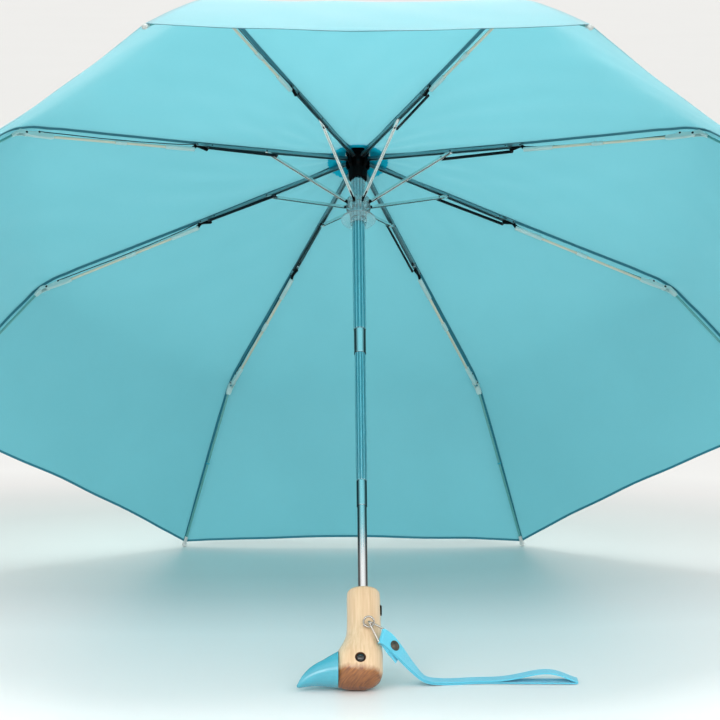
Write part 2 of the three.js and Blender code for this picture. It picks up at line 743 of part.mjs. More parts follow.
/** The doubled webbing: a flat band along its route, whose width turns from the ring's bar to level. */
function strapBand(route, barDirection) {
  const curve = new THREE.CatmullRomCurve3(route, false, "centripetal");
  const level = new THREE.Vector3(0, 1, 0);
  const steps = 40;
  const rings = Array.from({ length: steps + 1 }, (_, i) => {
    const share = i / steps;
    const at = curve.getPointAt(share);
    const along = curve.getTangentAt(share);
    const across = barDirection.clone().lerp(level, Math.min(1, share * 3.4));
    across.addScaledVector(along, -across.dot(along)).normalize();
    const up = new THREE.Vector3().crossVectors(along, across);
    const opened = Math.sin(Math.PI * THREE.MathUtils.clamp((share - 0.6) / 0.4, 0, 1)) ** 1.5;
    const thickness = THREE.MathUtils.lerp(STRAP_THICKNESS, STRAP_END_THICKNESS, opened);
    at.z += share > 0.5 ? (thickness - STRAP_THICKNESS) / 2 : 0;
    const corners = [[-1, -1], [1, -1], [1, 1], [-1, 1]];
    return corners.map(([u, v]) =>
      at
        .clone()
        .addScaledVector(across, (u * STRAP_WIDTH) / 2)
        .addScaledVector(up, (v * thickness) / 2),
    );
  });
  return named("wrist_strap", lofted(rings), TEAL_FABRIC);
}

// ---- Assembly -------------------------------------------------------------------------------------------

/** The umbrella in its own frame, without the strap. */
function umbrella() {
  const group = new THREE.Group();
  for (let number = 1; number <= RIBS; number += 1) group.add(rib(number));
  group.add(crown(), topCap(), canopy(), runner(), runnerCatch(), openingSpring(), ...tubes());
  group.add(handle(), beak(), eye("eye_near", -1), eye("eye_far", 1), button(), screwEye());
  return group;
}

/** The lowest corner of the named meshes' points, with the group tilted about x. */
function lowest(group, tilt, wanted) {
  group.rotation.x = tilt;
  group.updateMatrixWorld(true);
  let low = Infinity;
  group.traverse((mesh) => {
    if (!mesh.isMesh || !wanted(mesh.name)) return;
    const at = mesh.geometry.attributes.position;
    const point = new THREE.Vector3();
    for (let i = 0; i < at.count; i += 1) {
      low = Math.min(low, point.fromBufferAttribute(at, i).applyMatrix4(mesh.matrixWorld).z);
    }
  });
  return low;
}

/** The tilt at which the handle and the tail ribs' tips stand on the same floor. */
function restingTilt(group) {
  const isHandle = (name) => name === "handle" || name === "beak";
  const isTail = (name) => name.startsWith("tail_rib");
  let [steep, shallow] = [-0.95, -0.6];
  for (let i = 0; i < 40; i += 1) {
    const middle = (steep + shallow) / 2;
    const tipsHigher = lowest(group, middle, isTail) > lowest(group, middle, isHandle);
    if (tipsHigher) shallow = middle;
    else steep = middle;
  }
  return (steep + shallow) / 2;
}

const object = new THREE.Group();
const body = umbrella();
body.rotation.x = restingTilt(body);
object.add(body);

// The strap runs from the ring's bar down to the floor and along it, so it is built upright.
body.add(strapRing());
body.updateMatrixWorld(true);
const floorZ = lowest(body, body.rotation.x, () => true);
const [barTop, barEnd] = RING_BAR.map((end) => end.clone().applyMatrix4(body.matrixWorld));
const barDirection = barTop.clone().sub(barEnd).normalize();
const leaving = new THREE.Vector3(1, 0, -1).projectOnPlane(barDirection).normalize();
const strapStart = barTop.clone().lerp(barEnd, 0.5).addScaledVector(leaving, RING_WIRE + CLEARANCE);
const level = floorZ + CLEARANCE + STRAP_THICKNESS / 2;
const strapRoute = [
  strapStart,
  strapStart.clone().addScaledVector(leaving, 11),
  new THREE.Vector3(strapStart.x + 23, strapStart.y + 3, strapStart.z - 25),
  new THREE.Vector3(strapStart.x + 38, strapStart.y + 8, level + 2.4),
  new THREE.Vector3(strapStart.x + 52, strapStart.y + 12, level),
  new THREE.Vector3(strapStart.x + 90, strapStart.y + 16, level),
  new THREE.Vector3(strapStart.x + 130, strapStart.y + 15, level),
  new THREE.Vector3(190.5, strapStart.y + 14, level),
];
object.add(strapBand(strapRoute, barDirection));

// The origin is the middle of the floor under the object.
const bounds = new THREE.Box3().setFromObject(object, true);
const centre = bounds.getCenter(new THREE.Vector3());
object.position.set(-centre.x, -centre.y, -bounds.min.z);

export default object;
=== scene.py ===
# The looks of a compact folding umbrella that rests open on its handle and on two rib tips.
# Lengths in the constants are millimetres. The umbrella's own frame has its origin at the centre of the
# crown's pivot ring, z up the shaft and x to the right; each rib is built in a plane of its own, with x
# outwards.
import json
import math

import bmesh
import bpy
import numpy as np
from mathutils import Matrix, Vector


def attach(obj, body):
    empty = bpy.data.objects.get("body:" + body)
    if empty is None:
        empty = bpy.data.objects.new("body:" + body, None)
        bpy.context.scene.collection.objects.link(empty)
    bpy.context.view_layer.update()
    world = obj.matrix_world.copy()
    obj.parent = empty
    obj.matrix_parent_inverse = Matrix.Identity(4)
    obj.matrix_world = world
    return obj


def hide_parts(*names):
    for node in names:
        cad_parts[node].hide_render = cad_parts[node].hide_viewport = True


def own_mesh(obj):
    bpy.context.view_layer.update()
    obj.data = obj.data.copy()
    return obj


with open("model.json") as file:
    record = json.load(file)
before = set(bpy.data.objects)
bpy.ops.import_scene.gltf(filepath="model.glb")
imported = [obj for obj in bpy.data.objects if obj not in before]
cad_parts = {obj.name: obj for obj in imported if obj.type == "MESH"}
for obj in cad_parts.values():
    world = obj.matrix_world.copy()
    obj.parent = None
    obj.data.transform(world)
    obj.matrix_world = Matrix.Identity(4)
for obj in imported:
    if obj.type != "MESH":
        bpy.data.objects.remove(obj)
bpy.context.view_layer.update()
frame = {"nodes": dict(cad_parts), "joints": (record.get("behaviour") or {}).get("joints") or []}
JOINTS = {j["name"]: j for j in frame["joints"]}
MM = 0.001
RIBS = 8

# ---- Frames ----


def umbrella_frame():
    """The umbrella's frame in the row frame, from the fold joint's axis and the crown pivots."""
    up = -Vector(JOINTS["fold"]["axis"]).normalized()
    right = Vector((1, 0, 0))
    rear = up.cross(right)
    pivots = [Vector(JOINTS[f"inner_rib_{k}_hinge"]["pos_m"]) for k in range(1, RIBS + 1)]
    origin = sum(pivots, Vector()) / RIBS
    return Matrix.Translation(origin) @ Matrix((right, rear, up)).transposed().to_4x4()


U = umbrella_frame()
U_INV = U.inverted()
RIB_STEP = 360 / RIBS
FIRST_RIB = 90 - RIB_STEP / 2  # the first rib's direction, in degrees about the shaft from x


def rib_turn(number):
    """The turn about the shaft that takes +x to the rib's own direction."""
    return Matrix.Rotation(math.radians(FIRST_RIB - (number - 1) * RIB_STEP), 4, "Z")


def turns(count):
    """So many angles, evenly spaced round a full turn."""
    return [2 * math.pi * j / count for j in range(count)]


def shown(obj):
    """The object, put in the scene."""
    bpy.context.scene.collection.objects.link(obj)
    return obj


def pivot(joint):
    """A pivot of the first rib's joint, as (distance from the shaft, height), in millimetres."""
    p = rib_turn(1).inverted() @ (U_INV @ Vector(JOINTS[joint]["pos_m"]))
    return Vector((p.x / MM, p.z / MM))


CROWN_PIVOT = pivot("inner_rib_1_hinge")
STRUT_PIVOT = pivot("strut_1_hinge")
MIDDLE_PIVOT = pivot("middle_rib_1_hinge")
ELBOW_PIVOT = pivot("tail_rib_1_hinge")
TIP = Vector((480, -189.7))
RUNNER_PIVOT = Vector((9.5, -54))
TAIL_RISE = 4.8
TAIL_ROD_RADIUS = 1.15
HALF_GORE = math.pi / RIBS


def member(start, target):
    """The frame of a member of the rib's plane, at its pivot, with x towards the target."""
    lean = math.atan2(target.y - start.y, target.x - start.x)
    return Matrix.Translation((start.x * MM, 0, start.y * MM)) @ Matrix.Rotation(-lean, 4, "Y")


def tail_target():
    away = TIP - ELBOW_PIVOT
    lean = math.asin(TAIL_RISE / away.length)
    c, s = math.cos(lean), math.sin(lean)
    return ELBOW_PIVOT + Vector((away.x * c + away.y * s, away.y * c - away.x * s))


TAIL_REACH = math.sqrt((TIP - ELBOW_PIVOT).length ** 2 - TAIL_RISE**2)

# ---- Camera ----

CAMERA_AT = Vector((-50.2, -2268.6, -1670.9)) * MM
CAMERA_RIGHT = Vector((0.99983, -0.01555, -0.01027))
CAMERA_FORWARD = Vector((0.01863, 0.84460, 0.53507))
LENS, SENSOR = 141.7, 36
FAR_CLIP = 400  # metres, past the floor's far edge


def camera():
    data = bpy.data.cameras.new("camera")
    data.lens, data.sensor_width, data.clip_end = LENS, SENSOR, FAR_CLIP
    cam = shown(bpy.data.objects.new("camera", data))
    back = -CAMERA_FORWARD.normalized()
    right = (CAMERA_RIGHT - back * CAMERA_RIGHT.dot(back)).normalized()
    turn = Matrix((right, back.cross(right), back)).transposed().to_4x4()
    cam.matrix_world = U @ Matrix.Translation(CAMERA_AT) @ turn
    bpy.context.scene.camera = cam


camera()

# ---- Materials ----


ALONG_X, ALONG_Z, EVEN = (0.02, 1, 1), (1, 1, 0.02), (1, 1, 1)  # how noise is stretched


class Nodes:
    """A material's nodes, made and linked in short lines."""

    def __init__(self, name):
        self.material = bpy.data.materials.new(name)
        self.material.use_nodes = True
        self.tree = self.material.node_tree
        self.shader = self.tree.nodes["Principled BSDF"]
        self.output = self.tree.nodes["Material Output"]

    def add(self, kind, inputs=None, **settings):
        node = self.tree.nodes.new(kind)
        for key, value in settings.items():
            setattr(node, key, value)
        self.feed(node, inputs or {})
        return node

    def feed(self, node, inputs):
        """Sets or links inputs. A node given as a value is linked from its first enabled output."""
        for key, value in inputs.items():
            socket = node.inputs[key]
            if isinstance(value, bpy.types.Node):
                value = next(o for o in value.outputs if o.enabled)
            if isinstance(value, bpy.types.NodeSocket):
                self.tree.links.new(value, socket)
            else:
                socket.default_value = value

    def surface(self, **inputs):
        self.feed(self.shader, {name.replace("_", " "): value for name, value in inputs.items()})

    def coords(self, scale=(1, 1, 1), source="Object"):
        where = self.add("ShaderNodeTexCoord").outputs[source]
        return self.add("ShaderNodeMapping", {"Vector": where, "Scale": scale})

    def noise(self, scale, detail=3.0, stretch=(1, 1, 1), rough=0.5, source="Object"):
        inputs = {"Vector": self.coords(stretch, source), "Scale": scale, "Detail": detail, "Roughness": rough}
        return self.add("ShaderNodeTexNoise", inputs)

    def ramp(self, factor, *stops):
        node = self.add("ShaderNodeValToRGB", {"Fac": factor})
        ramp = node.color_ramp
        while len(ramp.elements) < len(stops):
            ramp.elements.new(0.5)
        for element, (at, colour) in zip(ramp.elements, stops):
            element.position = at
            element.color = (*colour, 1)
        return node

    def mix(self, factor, a, b, mode="MIX"):
        node = self.add("ShaderNodeMix", data_type="RGBA", blend_type=mode)
        self.feed(node, {0: factor})
        for index, value in ((6, a), (7, b)):
            self.feed(node, {index: (*value, 1) if isinstance(value, tuple) else value})
        return node.outputs[2]

    def math(self, operation, a, b=0.0):
        return self.add("ShaderNodeMath", {0: a, 1: b}, operation=operation)

    def spread(self, factor, low, high):
        """The factor taken from 0..1 to low..high."""
        return self.add("ShaderNodeMapRange", {"Value": factor, "To Min": low, "To Max": high})

    def bump(self, height, strength, distance=0.0003):
        node = self.add("ShaderNodeBump", {"Height": height, "Strength": strength, "Distance": distance})
        self.feed(self.shader, {"Normal": node})
        return node


def scaled(colour, share):
    return tuple(c * share for c in colour)


def weave(n, across, along):
    """Crossing threads, so many to the metre each way."""
    waves = []
    for scale, way in (((across, 0, 0), "X"), ((0, along, 0), "Y")):
        inputs = {"Vector": n.coords(scale, source="UV"), "Scale": 1.0, "Distortion": 0.6, "Detail": 1.0}
        waves.append(n.add("ShaderNodeTexWave", inputs, bands_direction=way).outputs["Fac"])
    return n.math("ADD", *waves)


def fabric():
    """Thin woven cloth that lets some light through."""
    n = Nodes("canopy_cloth")
    cloud = n.noise(9, 4)
    tint = n.ramp(cloud, (0.3, (0.105, 0.405, 0.470)), (0.7, (0.125, 0.450, 0.520)))
    slub = n.noise(900, 2, (0.15, 1, 1), source="UV")
    colour = n.mix(n.spread(slub, 0, 0.12), tint.outputs[0], (0.24, 0.60, 0.67))
    n.surface(Base_Color=colour, Roughness=n.spread(cloud, 0.42, 0.56))
    n.surface(Sheen_Weight=0.9, Sheen_Roughness=0.35, Sheen_Tint=(0.95, 1, 1, 1))
    bump = n.bump(weave(n, 5200, 5200), 0.12, 0.0001)
    through = n.add("ShaderNodeBsdfTranslucent", {"Color": (0.26, 0.75, 0.85, 1), "Normal": bump})
    both = n.add("ShaderNodeMixShader", {0: 0.28, 1: n.shader.outputs[0], 2: through.outputs[0]})
    n.feed(n.output, {"Surface": both})
    return n.material


def seam_cloth():
    """The doubled cloth of hems and seams, which lets less light through."""
    n = Nodes("seam_cloth")
    slub = n.noise(700, 2)
    colour = n.mix(n.spread(slub, 0, 0.2), (0.001, 0.155, 0.215), (0.004, 0.190, 0.255))
    n.surface(Base_Color=colour, Roughness=0.55, Sheen_Weight=0.2)
    n.bump(slub, 0.2, 0.0002)
    return n.material


def webbing():
    n = Nodes("strap_webbing")
    threads = weave(n, 5400, 3000)
    shade = n.noise(400, 3, source="UV")
    colour = n.mix(n.spread(shade, 0, 0.35), (0.09, 0.55, 0.74), (0.15, 0.64, 0.81))
    n.surface(Base_Color=colour, Roughness=0.6, Sheen_Weight=0.3, Sheen_Roughness=0.5)
    n.bump(threads, 0.45, 0.0002)
    return n.material


def maple():
    """Pale straight-grained wood: fine pores along z, soft growth bands, and below, slanted end-grain streaks
    in a dark brown that is also painted shade of the head's underside, darker still towards the bottom.
    """
    n = Nodes("maple")
    bands = n.noise(60, 4, (1, 1, 0.06), rough=0.6)
    fine = n.noise(700, 5, (1, 1, 0.03), rough=0.65)
    stops = [(0.3, (0.77, 0.580, 0.375)), (0.55, (0.70, 0.495, 0.305)), (0.75, (0.59, 0.375, 0.205))]
    pale = n.ramp(bands, *stops)
    flecks = n.ramp(fine, (0.40, (0.80, 0.72, 0.62)), (0.58, (1, 1, 1)))
    along = n.mix(0.55, pale.outputs[0], flecks.outputs[0], "MULTIPLY")
    slanted = n.add(
        "ShaderNodeMapping",
        {"Vector": n.coords(), "Rotation": (0, 0.85, 0), "Scale": (1, 8, 12)},
        vector_type="TEXTURE",
    )
    rings = n.add("ShaderNodeTexNoise", {"Vector": slanted, "Scale": 1300, "Detail": 4, "Roughness": 0.55})
    end = n.ramp(rings, (0.35, (0.150, 0.036, 0.003)), (0.62, (0.360, 0.122, 0.016)))
    where = n.add("ShaderNodeSeparateXYZ", {"Vector": n.coords()})
    fringe = n.noise(320, 3, (1, 1, 0.08))
    slope = n.math("MULTIPLY", where.outputs["X"], 0.08)
    depth = n.math("ADD", slope, n.math("MULTIPLY", n.math("SUBTRACT", fringe, 0.5), 0.006))
    depth = n.math("ADD", where.outputs["Z"], depth)
    edge = {"From Min": -0.5608, "From Max": -0.5662}  # where the end grain and the painted shade begin, in metres along z
    below = n.add("ShaderNodeMapRange", {"Value": depth, **edge, "To Max": 0.95})
    foot = {"From Min": -0.564, "From Max": -0.577}
    low = n.add("ShaderNodeMapRange", {"Value": where.outputs["Z"], **foot})
    # Painted shade: the underside's brown darkens further towards the bottom.
    end_grain_and_shade = n.mix(low, end.outputs[0], (0.60, 0.50, 0.42), "MULTIPLY")
    n.surface(Base_Color=n.mix(below, along, end_grain_and_shade), Roughness=n.spread(fine, 0.30, 0.46))
    n.surface(Coat_Weight=0.35, Coat_Roughness=0.14)
    n.bump(fine, 0.18, 0.0002)
    return n.material


def paint(name, colour, roughness=0.24, coat=0.4, specular=0.5):
    n = Nodes(name)
    soft = n.noise(120, 2)
    n.surface(Base_Color=n.mix(n.spread(soft, 0, 1), scaled(colour, 0.86), colour), Coat_Weight=coat)
    n.surface(Roughness=n.spread(soft, roughness, roughness + 0.1), Coat_Roughness=0.08)
    n.surface(Specular_IOR_Level=specular)
    n.bump(n.noise(500, 2), 0.08, 0.0002)
    return n.material


def plastic(name, colour, roughness):
    n = Nodes(name)
    grain = n.noise(1500, 2)
    lighter = tuple(c * 1.3 + 0.001 for c in colour)
    n.surface(Base_Color=n.mix(grain, colour, lighter), Specular_IOR_Level=0.05)
    n.surface(Roughness=n.spread(grain, roughness - 0.08, roughness + 0.1))
    n.bump(grain, 0.15, 0.0001)
    return n.material


def clear(name, colour, transmission, roughness, bend=1.47):
    n = Nodes(name)
    cloud = n.noise(200, 2)
    n.surface(Base_Color=n.mix(cloud, colour, scaled(colour, 0.92)), IOR=bend)
    n.surface(Transmission_Weight=transmission, Roughness=n.spread(cloud, roughness, roughness + 0.14))
    return n.material


def metal(name, colour, roughness, stretch=ALONG_Z, scale=1200):
    """Metal with faint drawing lines, as the stretch says."""
    n = Nodes(name)
    lines = n.noise(scale, 3, stretch)
    n.surface(Metallic=1.0, Base_Color=n.mix(n.noise(45, 3), colour, scaled(colour, 0.8)))
    n.surface(Roughness=n.spread(lines, roughness * 0.7, roughness * 1.4))
    n.bump(lines, 0.06, 0.0001)
    return n.material


def painted_reflection_chrome(name, bright, dark, roughness, reflection_bands=4):
    """Drawn tube round z, with painted reflection in its colour: soft lengthwise light and dark bands round
    it, as many bright ones as the count given.
    """
    n = Nodes(name)
    at = n.add("ShaderNodeSeparateXYZ", {"Vector": n.coords()})
    angle = n.math("ARCTAN2", at.outputs["Y"], at.outputs["X"])
    reflection_wave = n.math("COSINE", n.math("MULTIPLY", n.math("ADD", angle, math.pi / 2), float(reflection_bands)))
    lines = n.noise(1200, 3, ALONG_Z)
    level = n.add("ShaderNodeMapRange", {"Value": reflection_wave, "From Min": -1})
    level = n.math("ADD", level, n.math("MULTIPLY", n.math("SUBTRACT", lines, 0.5), 0.12))
    between = tuple((a + b) / 2 for a, b in zip(bright, dark))
    # painted reflection: the metal's colour runs from dark to bright with the angle round the tube
    shade = n.ramp(level, (0.50, dark), (0.76, between), (0.93, bright))
    n.surface(Metallic=1.0, Base_Color=shade, Roughness=n.spread(lines, roughness * 0.8, roughness * 1.3))
    n.bump(lines, 0.04, 0.0001)
    return n.material


M = {
    "canopy": fabric(),
    "seam": seam_cloth(),
    "webbing": webbing(),
    "maple": maple(),
    "beak": paint("beak_paint", (0.062, 0.385, 0.500), 0.2, 0.7),
    "socket": paint("socket_stain", (0.11, 0.035, 0.012), 0.5, 0.0),
    "eye": paint("eye_lacquer", (0.002, 0.002, 0.002), 0.05, 0.5, 0.5),
    "black": plastic("black_plastic", (0.0008, 0.0008, 0.0009), 0.5),
    "link": metal("black_steel", (0.020, 0.024, 0.027), 0.38, ALONG_X),
    "rib": metal("rib_aluminium", (0.27, 0.42, 0.45), 0.34, ALONG_X),
    "strut": metal("strut_steel", (0.76, 0.82, 0.80), 0.24, ALONG_X),
    "rivet": metal("rivet_steel", (0.07, 0.08, 0.085), 0.3),
    # Painted reflection: the chrome is bright towards front and back and dark at its sides; the sleeve's teal
    # is the canopy painted in as a reflection, in twelve painted bands.
    "tube": painted_reflection_chrome("tube_chrome", (0.88, 0.89, 0.90), (0.030, 0.030, 0.030), 0.12, 2),
    "sleeve": painted_reflection_chrome("tube_sleeve_painted_reflection", (0.50, 0.74, 0.79), (0.15, 0.35, 0.40), 0.26, 12),
    "chrome": metal("bright_wire", (0.46, 0.43, 0.39), 0.14, EVEN, 600),
    "antique": metal("dark_snap", (0.115, 0.105, 0.085), 0.30, EVEN, 900),
    "rod": paint("cream_fibreglass", (0.62, 0.60, 0.48), 0.35, 0.1),
    "clear": clear("milky_fitting", (0.52, 0.74, 0.73), 0.18, 0.34),
    "cap": clear("tip_cap", (0.82, 0.86, 0.84), 0.45, 0.3),
    "runner": clear("runner_plastic", (0.80, 0.94, 0.95), 0.86, 0.07, 1.28),
    "rosette": plastic("rosette_cloth", (0.003, 0.400, 0.560), 0.6),
    # The tail rods' dark teal is painted shade of the cloth around them.
    "tail": paint("tail_rod_painted_shade", (0.09, 0.33, 0.32), 0.35, 0.1),
    "stitch": plastic("thread", (0.03, 0.30, 0.40), 0.6),
}

# ---- Mesh making ----


def mesh_of(name, points, faces):
    """A mesh from points in millimetres."""
    mesh = bpy.data.meshes.new(name)
    mesh.from_pydata([[c * MM for c in p] for p in points], [], faces)
    return mesh


def piece(name, points, faces, material, body, slot, frame_at=U, replaces=(), smooth=60):
    """A mesh piece from points in millimetres, in the frame given, riding on a body."""
    mesh = mesh_of(name, points, faces)
    mesh.validate()
    obj = shown(bpy.data.objects.new(name, mesh))
    mesh.materials.append(M[material])
    tidy_mesh(mesh, smooth)
    obj.matrix_world = frame_at
    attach(obj, body)
    if replaces:
        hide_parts(*replaces)
    return obj


def tidy_mesh(mesh, smooth):
    """Faces turned outwards, smooth but for edges sharper than so many degrees."""
    bm = bmesh.new()
    bm.from_mesh(mesh)
    bmesh.ops.remove_doubles(bm, verts=bm.verts, dist=1e-7)
    bmesh.ops.recalc_face_normals(bm, faces=bm.faces)
    for face in bm.faces:
        face.smooth = True
    for edge in bm.edges:
        if len(edge.link_faces) == 2 and edge.calc_face_angle(0) > math.radians(smooth):
            edge.smooth = False
    bm.to_mesh(mesh)
    bm.free()


def joined(*parts):
    """Several (points, faces) as one."""
    points, faces = [], []
    for p, f in parts:
        base = len(points)
        points += [tuple(x) for x in p]
        faces += [[base + i for i in face] for face in f]
    return points, faces


def loft(rings, closed=False, caps=True):
    """Rings of equal length joined in order."""
    n = len(rings[0])
    points = [tuple(p) for ring in rings for p in ring]
    rows = len(rings)
    faces = []
    for r in range(rows if closed else rows - 1):
        a, b = r * n, ((r + 1) % rows) * n
        faces += [[a + j, a + (j + 1) % n, b + (j + 1) % n, b + j] for j in range(n)]
    if caps and not closed:
        faces += [list(range(n))[::-1], [(rows - 1) * n + j for j in range(n)]]
    return points, faces


def lathe(profile, sides=48, grooves=0, depth=0.0, bore=0.0):
    """A closed profile of (radius, z) turned about z; the ends close on the axis where the radius is 0.
    So many grooves run along it, on what is outside the bore."""
    rings = []
    for r, z in profile:
        cut = depth if r > bore else 0
        radii = [(a, r - cut * max(0.0, math.cos(a * grooves)) ** 8) for a in turns(sides)]
        rings.append([(radius * math.cos(a), radius * math.sin(a), z) for a, radius in radii])
    return loft(rings, closed=profile[0][0] > 0 and profile[-1][0] > 0, caps=False)


def crosswise(part, x=0.0, y=0.0, z=0.0, side=1):
    """A part turned about z, laid across the rib and moved."""
    return [(p[0] + x, side * p[2] + y, p[1] + z) for p in part[0]], part[1]


def sweep(path, radius, sides=10, closed=False):
    """A round wire along points; the radius is a number or one for each point."""
    path = [Vector(p) for p in path]
    count = len(path)
    radii = radius if isinstance(radius, (list, tuple)) else [radius] * count
    rings = []
    normal = None
    for i, p in enumerate(path):
        before = path[(i - 1) % count] if closed or i else p
        after = path[(i + 1) % count] if closed or i < count - 1 else p
        along = (after - before).normalized()
        if normal is None:
            normal = along.orthogonal().normalized()
        normal = (normal - along * normal.dot(along)).normalized()
        side = along.cross(normal)
        rings.append([p + (normal * math.cos(a) + side * math.sin(a)) * radii[i] for a in turns(sides)])
    return loft(rings, closed=closed)


def prism(outline, low, high, inset=0.25):
    """An outline of the rib's plane, (x, z) points, between two distances across, with eased edges."""
    points = [Vector(p) for p in outline]
    count = len(points)
    centre = sum(points, Vector((0, 0))) / count

    def shrunk(by):
        out = []
        for i, p in enumerate(points):
            a, b = points[i - 1], points[(i + 1) % count]
            direction = (p - a).normalized() + (b - p).normalized()
            normal = Vector((direction.y, -direction.x))
            if normal.length > 1e-6:
                normal.normalize()
            inward = -normal if normal.dot(p - centre) > 0 else normal
            out.append(p + inward * by)
        return out

    levels = [(low, inset), (low + inset, 0), (high - inset, 0), (high, inset)]
    rings = [[(p.x, y, p.y) for p in shrunk(by)] for y, by in levels]
    return loft(rings)


def bar(a, b, radius, steps=6):
    """A straight bar with round ends, as an outline."""
    a, b = Vector(a), Vector(b)
    lean = math.atan2(b.y - a.y, b.x - a.x)
    out = []
    for centre, start in ((a, lean + math.pi / 2), (b, lean - math.pi / 2)):
        for i in range(steps + 1):
            angle = start + math.pi * i / steps
            out.append((centre.x + radius * math.cos(angle), centre.y + radius * math.sin(angle)))
    return out


def rivet(x, z, half, radius=0.9, y=0.0):
    """A pin across the rib with domed heads."""
    end = [(radius, half), (radius * 0.7, half + 0.4), (0, half + 0.5)]
    return crosswise(lathe([(r, -h) for r, h in reversed(end)] + end, 12), x, y, z)


def spline(pairs):
    """A smooth function through (x, y) pairs, without overshoot."""
    xs = np.array([p[0] for p in pairs], float)
    ys = np.array([p[1] for p in pairs], float)
    order = np.argsort(xs)
    xs, ys = xs[order], ys[order]
    h = np.diff(xs)
    slope = np.diff(ys) / h
    tangents = np.zeros(len(xs))
    for i in range(1, len(xs) - 1):
        if slope[i - 1] * slope[i] > 0:
            w1, w2 = 2 * h[i] + h[i - 1], h[i] + 2 * h[i - 1]
            tangents[i] = (w1 + w2) / (w1 / slope[i - 1] + w2 / slope[i])
    tangents[0], tangents[-1] = slope[0], slope[-1]

    def value(x):
        x = min(max(x, xs[0]), xs[-1])
        i = min(int(np.searchsorted(xs, x, side="right")) - 1, len(xs) - 2)
        t = (x - xs[i]) / h[i]
        leaving, arriving = tangents[i] * h[i], tangents[i + 1] * h[i]
        levels = (2 * t**3 - 3 * t**2 + 1) * ys[i] + (t**3 - 2 * t**2 + t) * leaving
        return levels + (3 * t**2 - 2 * t**3) * ys[i + 1] + (t**3 - t**2) * arriving

    return value


def carve(obj, *cutters):
    """Cuts closed (points, faces) solids out of a piece."""
    mesh = mesh_of("cutter", *joined(*cutters))
    tidy_mesh(mesh, 60)
    tool = shown(bpy.data.objects.new("cutter", mesh))
    tool.matrix_world = obj.matrix_world
    modifier = obj.modifiers.new("cut", "BOOLEAN")
    modifier.object, modifier.operation = tool, "DIFFERENCE"
    modifier.solver, modifier.use_self = "EXACT", True
    bpy.context.view_layer.update()
    cut = bpy.data.meshes.new_from_object(obj.evaluated_get(bpy.context.evaluated_depsgraph_get()))
    obj.modifiers.clear()
    old, obj.data = obj.data, cut
    bpy.data.meshes.remove(old)
    bpy.data.objects.remove(tool)
    bpy.data.meshes.remove(mesh)
    tidy_mesh(cut, 35)


# ---- Canopy ----

FABRIC_LINE = [(12.5, 8.8), (29.8, -0.2), (97.5, -13.0), (169.6, -25.9), (248, -39.2)]  # along a rib's line
FABRIC_LINE += [(325.9, -52.7), (344.4, -57.6), (369.9, -76.7), (423.9, -128.1), (480, -186.3)]
ELBOW_STEP = 6  # the point of the line above the elbow
ROUNDING = 44  # how far along the line the cloth smooths it out, between two ribs
HEM_PULL = 0.02  # how far the hem is drawn in between two tips, as a share of its radius
SEAM_WIDTH = 2.1
HEM_WIDTH = 2.2
SEAM_DROP = 0.5
PLEAT_DEPTH = 0.4  # of a tail half's drop below its rib, used in working out its outer corner
GORE_STEPS = 28
ROWS = {"inner": 22, "middle": 26, "tail": 30}


def canopy_line():
    """The cloth's line above a rib, by length along it: functions r, z, both rounded off, and its lengths."""
    steps = [0.0]
    for a, b in zip(FABRIC_LINE, FABRIC_LINE[1:]):
        steps.append(steps[-1] + math.dist(a, b))
    r = spline([(s, p[0]) for s, p in zip(steps, FABRIC_LINE)])
    z = spline([(s, p[1]) for s, p in zip(steps, FABRIC_LINE)])
    total = steps[-1]
    shares = np.linspace(-1, 1, 9)
    weights = 1 - shares**2 * 0.8

    def rounded(s):
        around = [min(max(s + offset, 0), total) for offset in shares * ROUNDING]
        fade = min(1.0, s / ROUNDING, (total - s) / ROUNDING)
        soft = np.array([np.average([f(a) for a in around], weights=weights) for f in (r, z)])
        return soft * fade + np.array([r(s), z(s)]) * (1 - fade)

    return r, z, rounded, steps


LINE_R, LINE_Z, LINE_ROUNDED, LINE_STEPS = canopy_line()
LINE_LENGTH = LINE_STEPS[-1]
LENGTHS = np.linspace(0, LINE_LENGTH, 500)
RADII = [LINE_R(s) for s in LENGTHS]
CREASES = [LINE_STEPS[3], LINE_STEPS[5] + 0.75 * (LINE_STEPS[6] - LINE_STEPS[5])]
PIECE_ROWS = [0, *np.cumsum(list(ROWS.values())).tolist()]


def row_places(across):
    """Lengths of the rows in one column of a gore. The two creases run straight, square to the rib."""
    shortening = 1 - math.sin(HALF_GORE) ** 2 * (1 - abs(across))
    creases = [float(np.interp(LINE_R(s) / shortening, RADII, LENGTHS)) for s in CREASES]
    ends = [0.0, *creases, LINE_LENGTH]
    places = []
    for a, b, count in zip(ends, ends[1:], ROWS.values()):
        places += np.linspace(a, b, count, endpoint=False).tolist()
    return [*places, ends[-1]]


def ripple(s, turn, across):
    """The tight cloth's small undulations: broad ones, and puckers along the hem and at the elbows."""
    past_elbow = s - LINE_STEPS[ELBOW_STEP]
    broad = 0.55 * math.sin(s / 31 + 3 * math.sin(turn * 3)) * math.sin(turn * 17 + s / 90)
    broad += 0.35 * math.sin(s / 17 - turn * 29 + 1.3)
    middle = 1 - across**2
    broad *= middle * min(1, s / 80)
    hem = 0.35 * math.exp(-(LINE_LENGTH - s) / 9) * math.sin(turn * LINE_R(s) / 2.6) * middle
    elbow = math.exp(-((past_elbow / 34) ** 2)) * math.exp(-((1 - abs(across)) / 0.16))
    pucker = 0.55 * elbow * math.sin(past_elbow / 4.6 + abs(across) * 30)
    return broad + hem + pucker


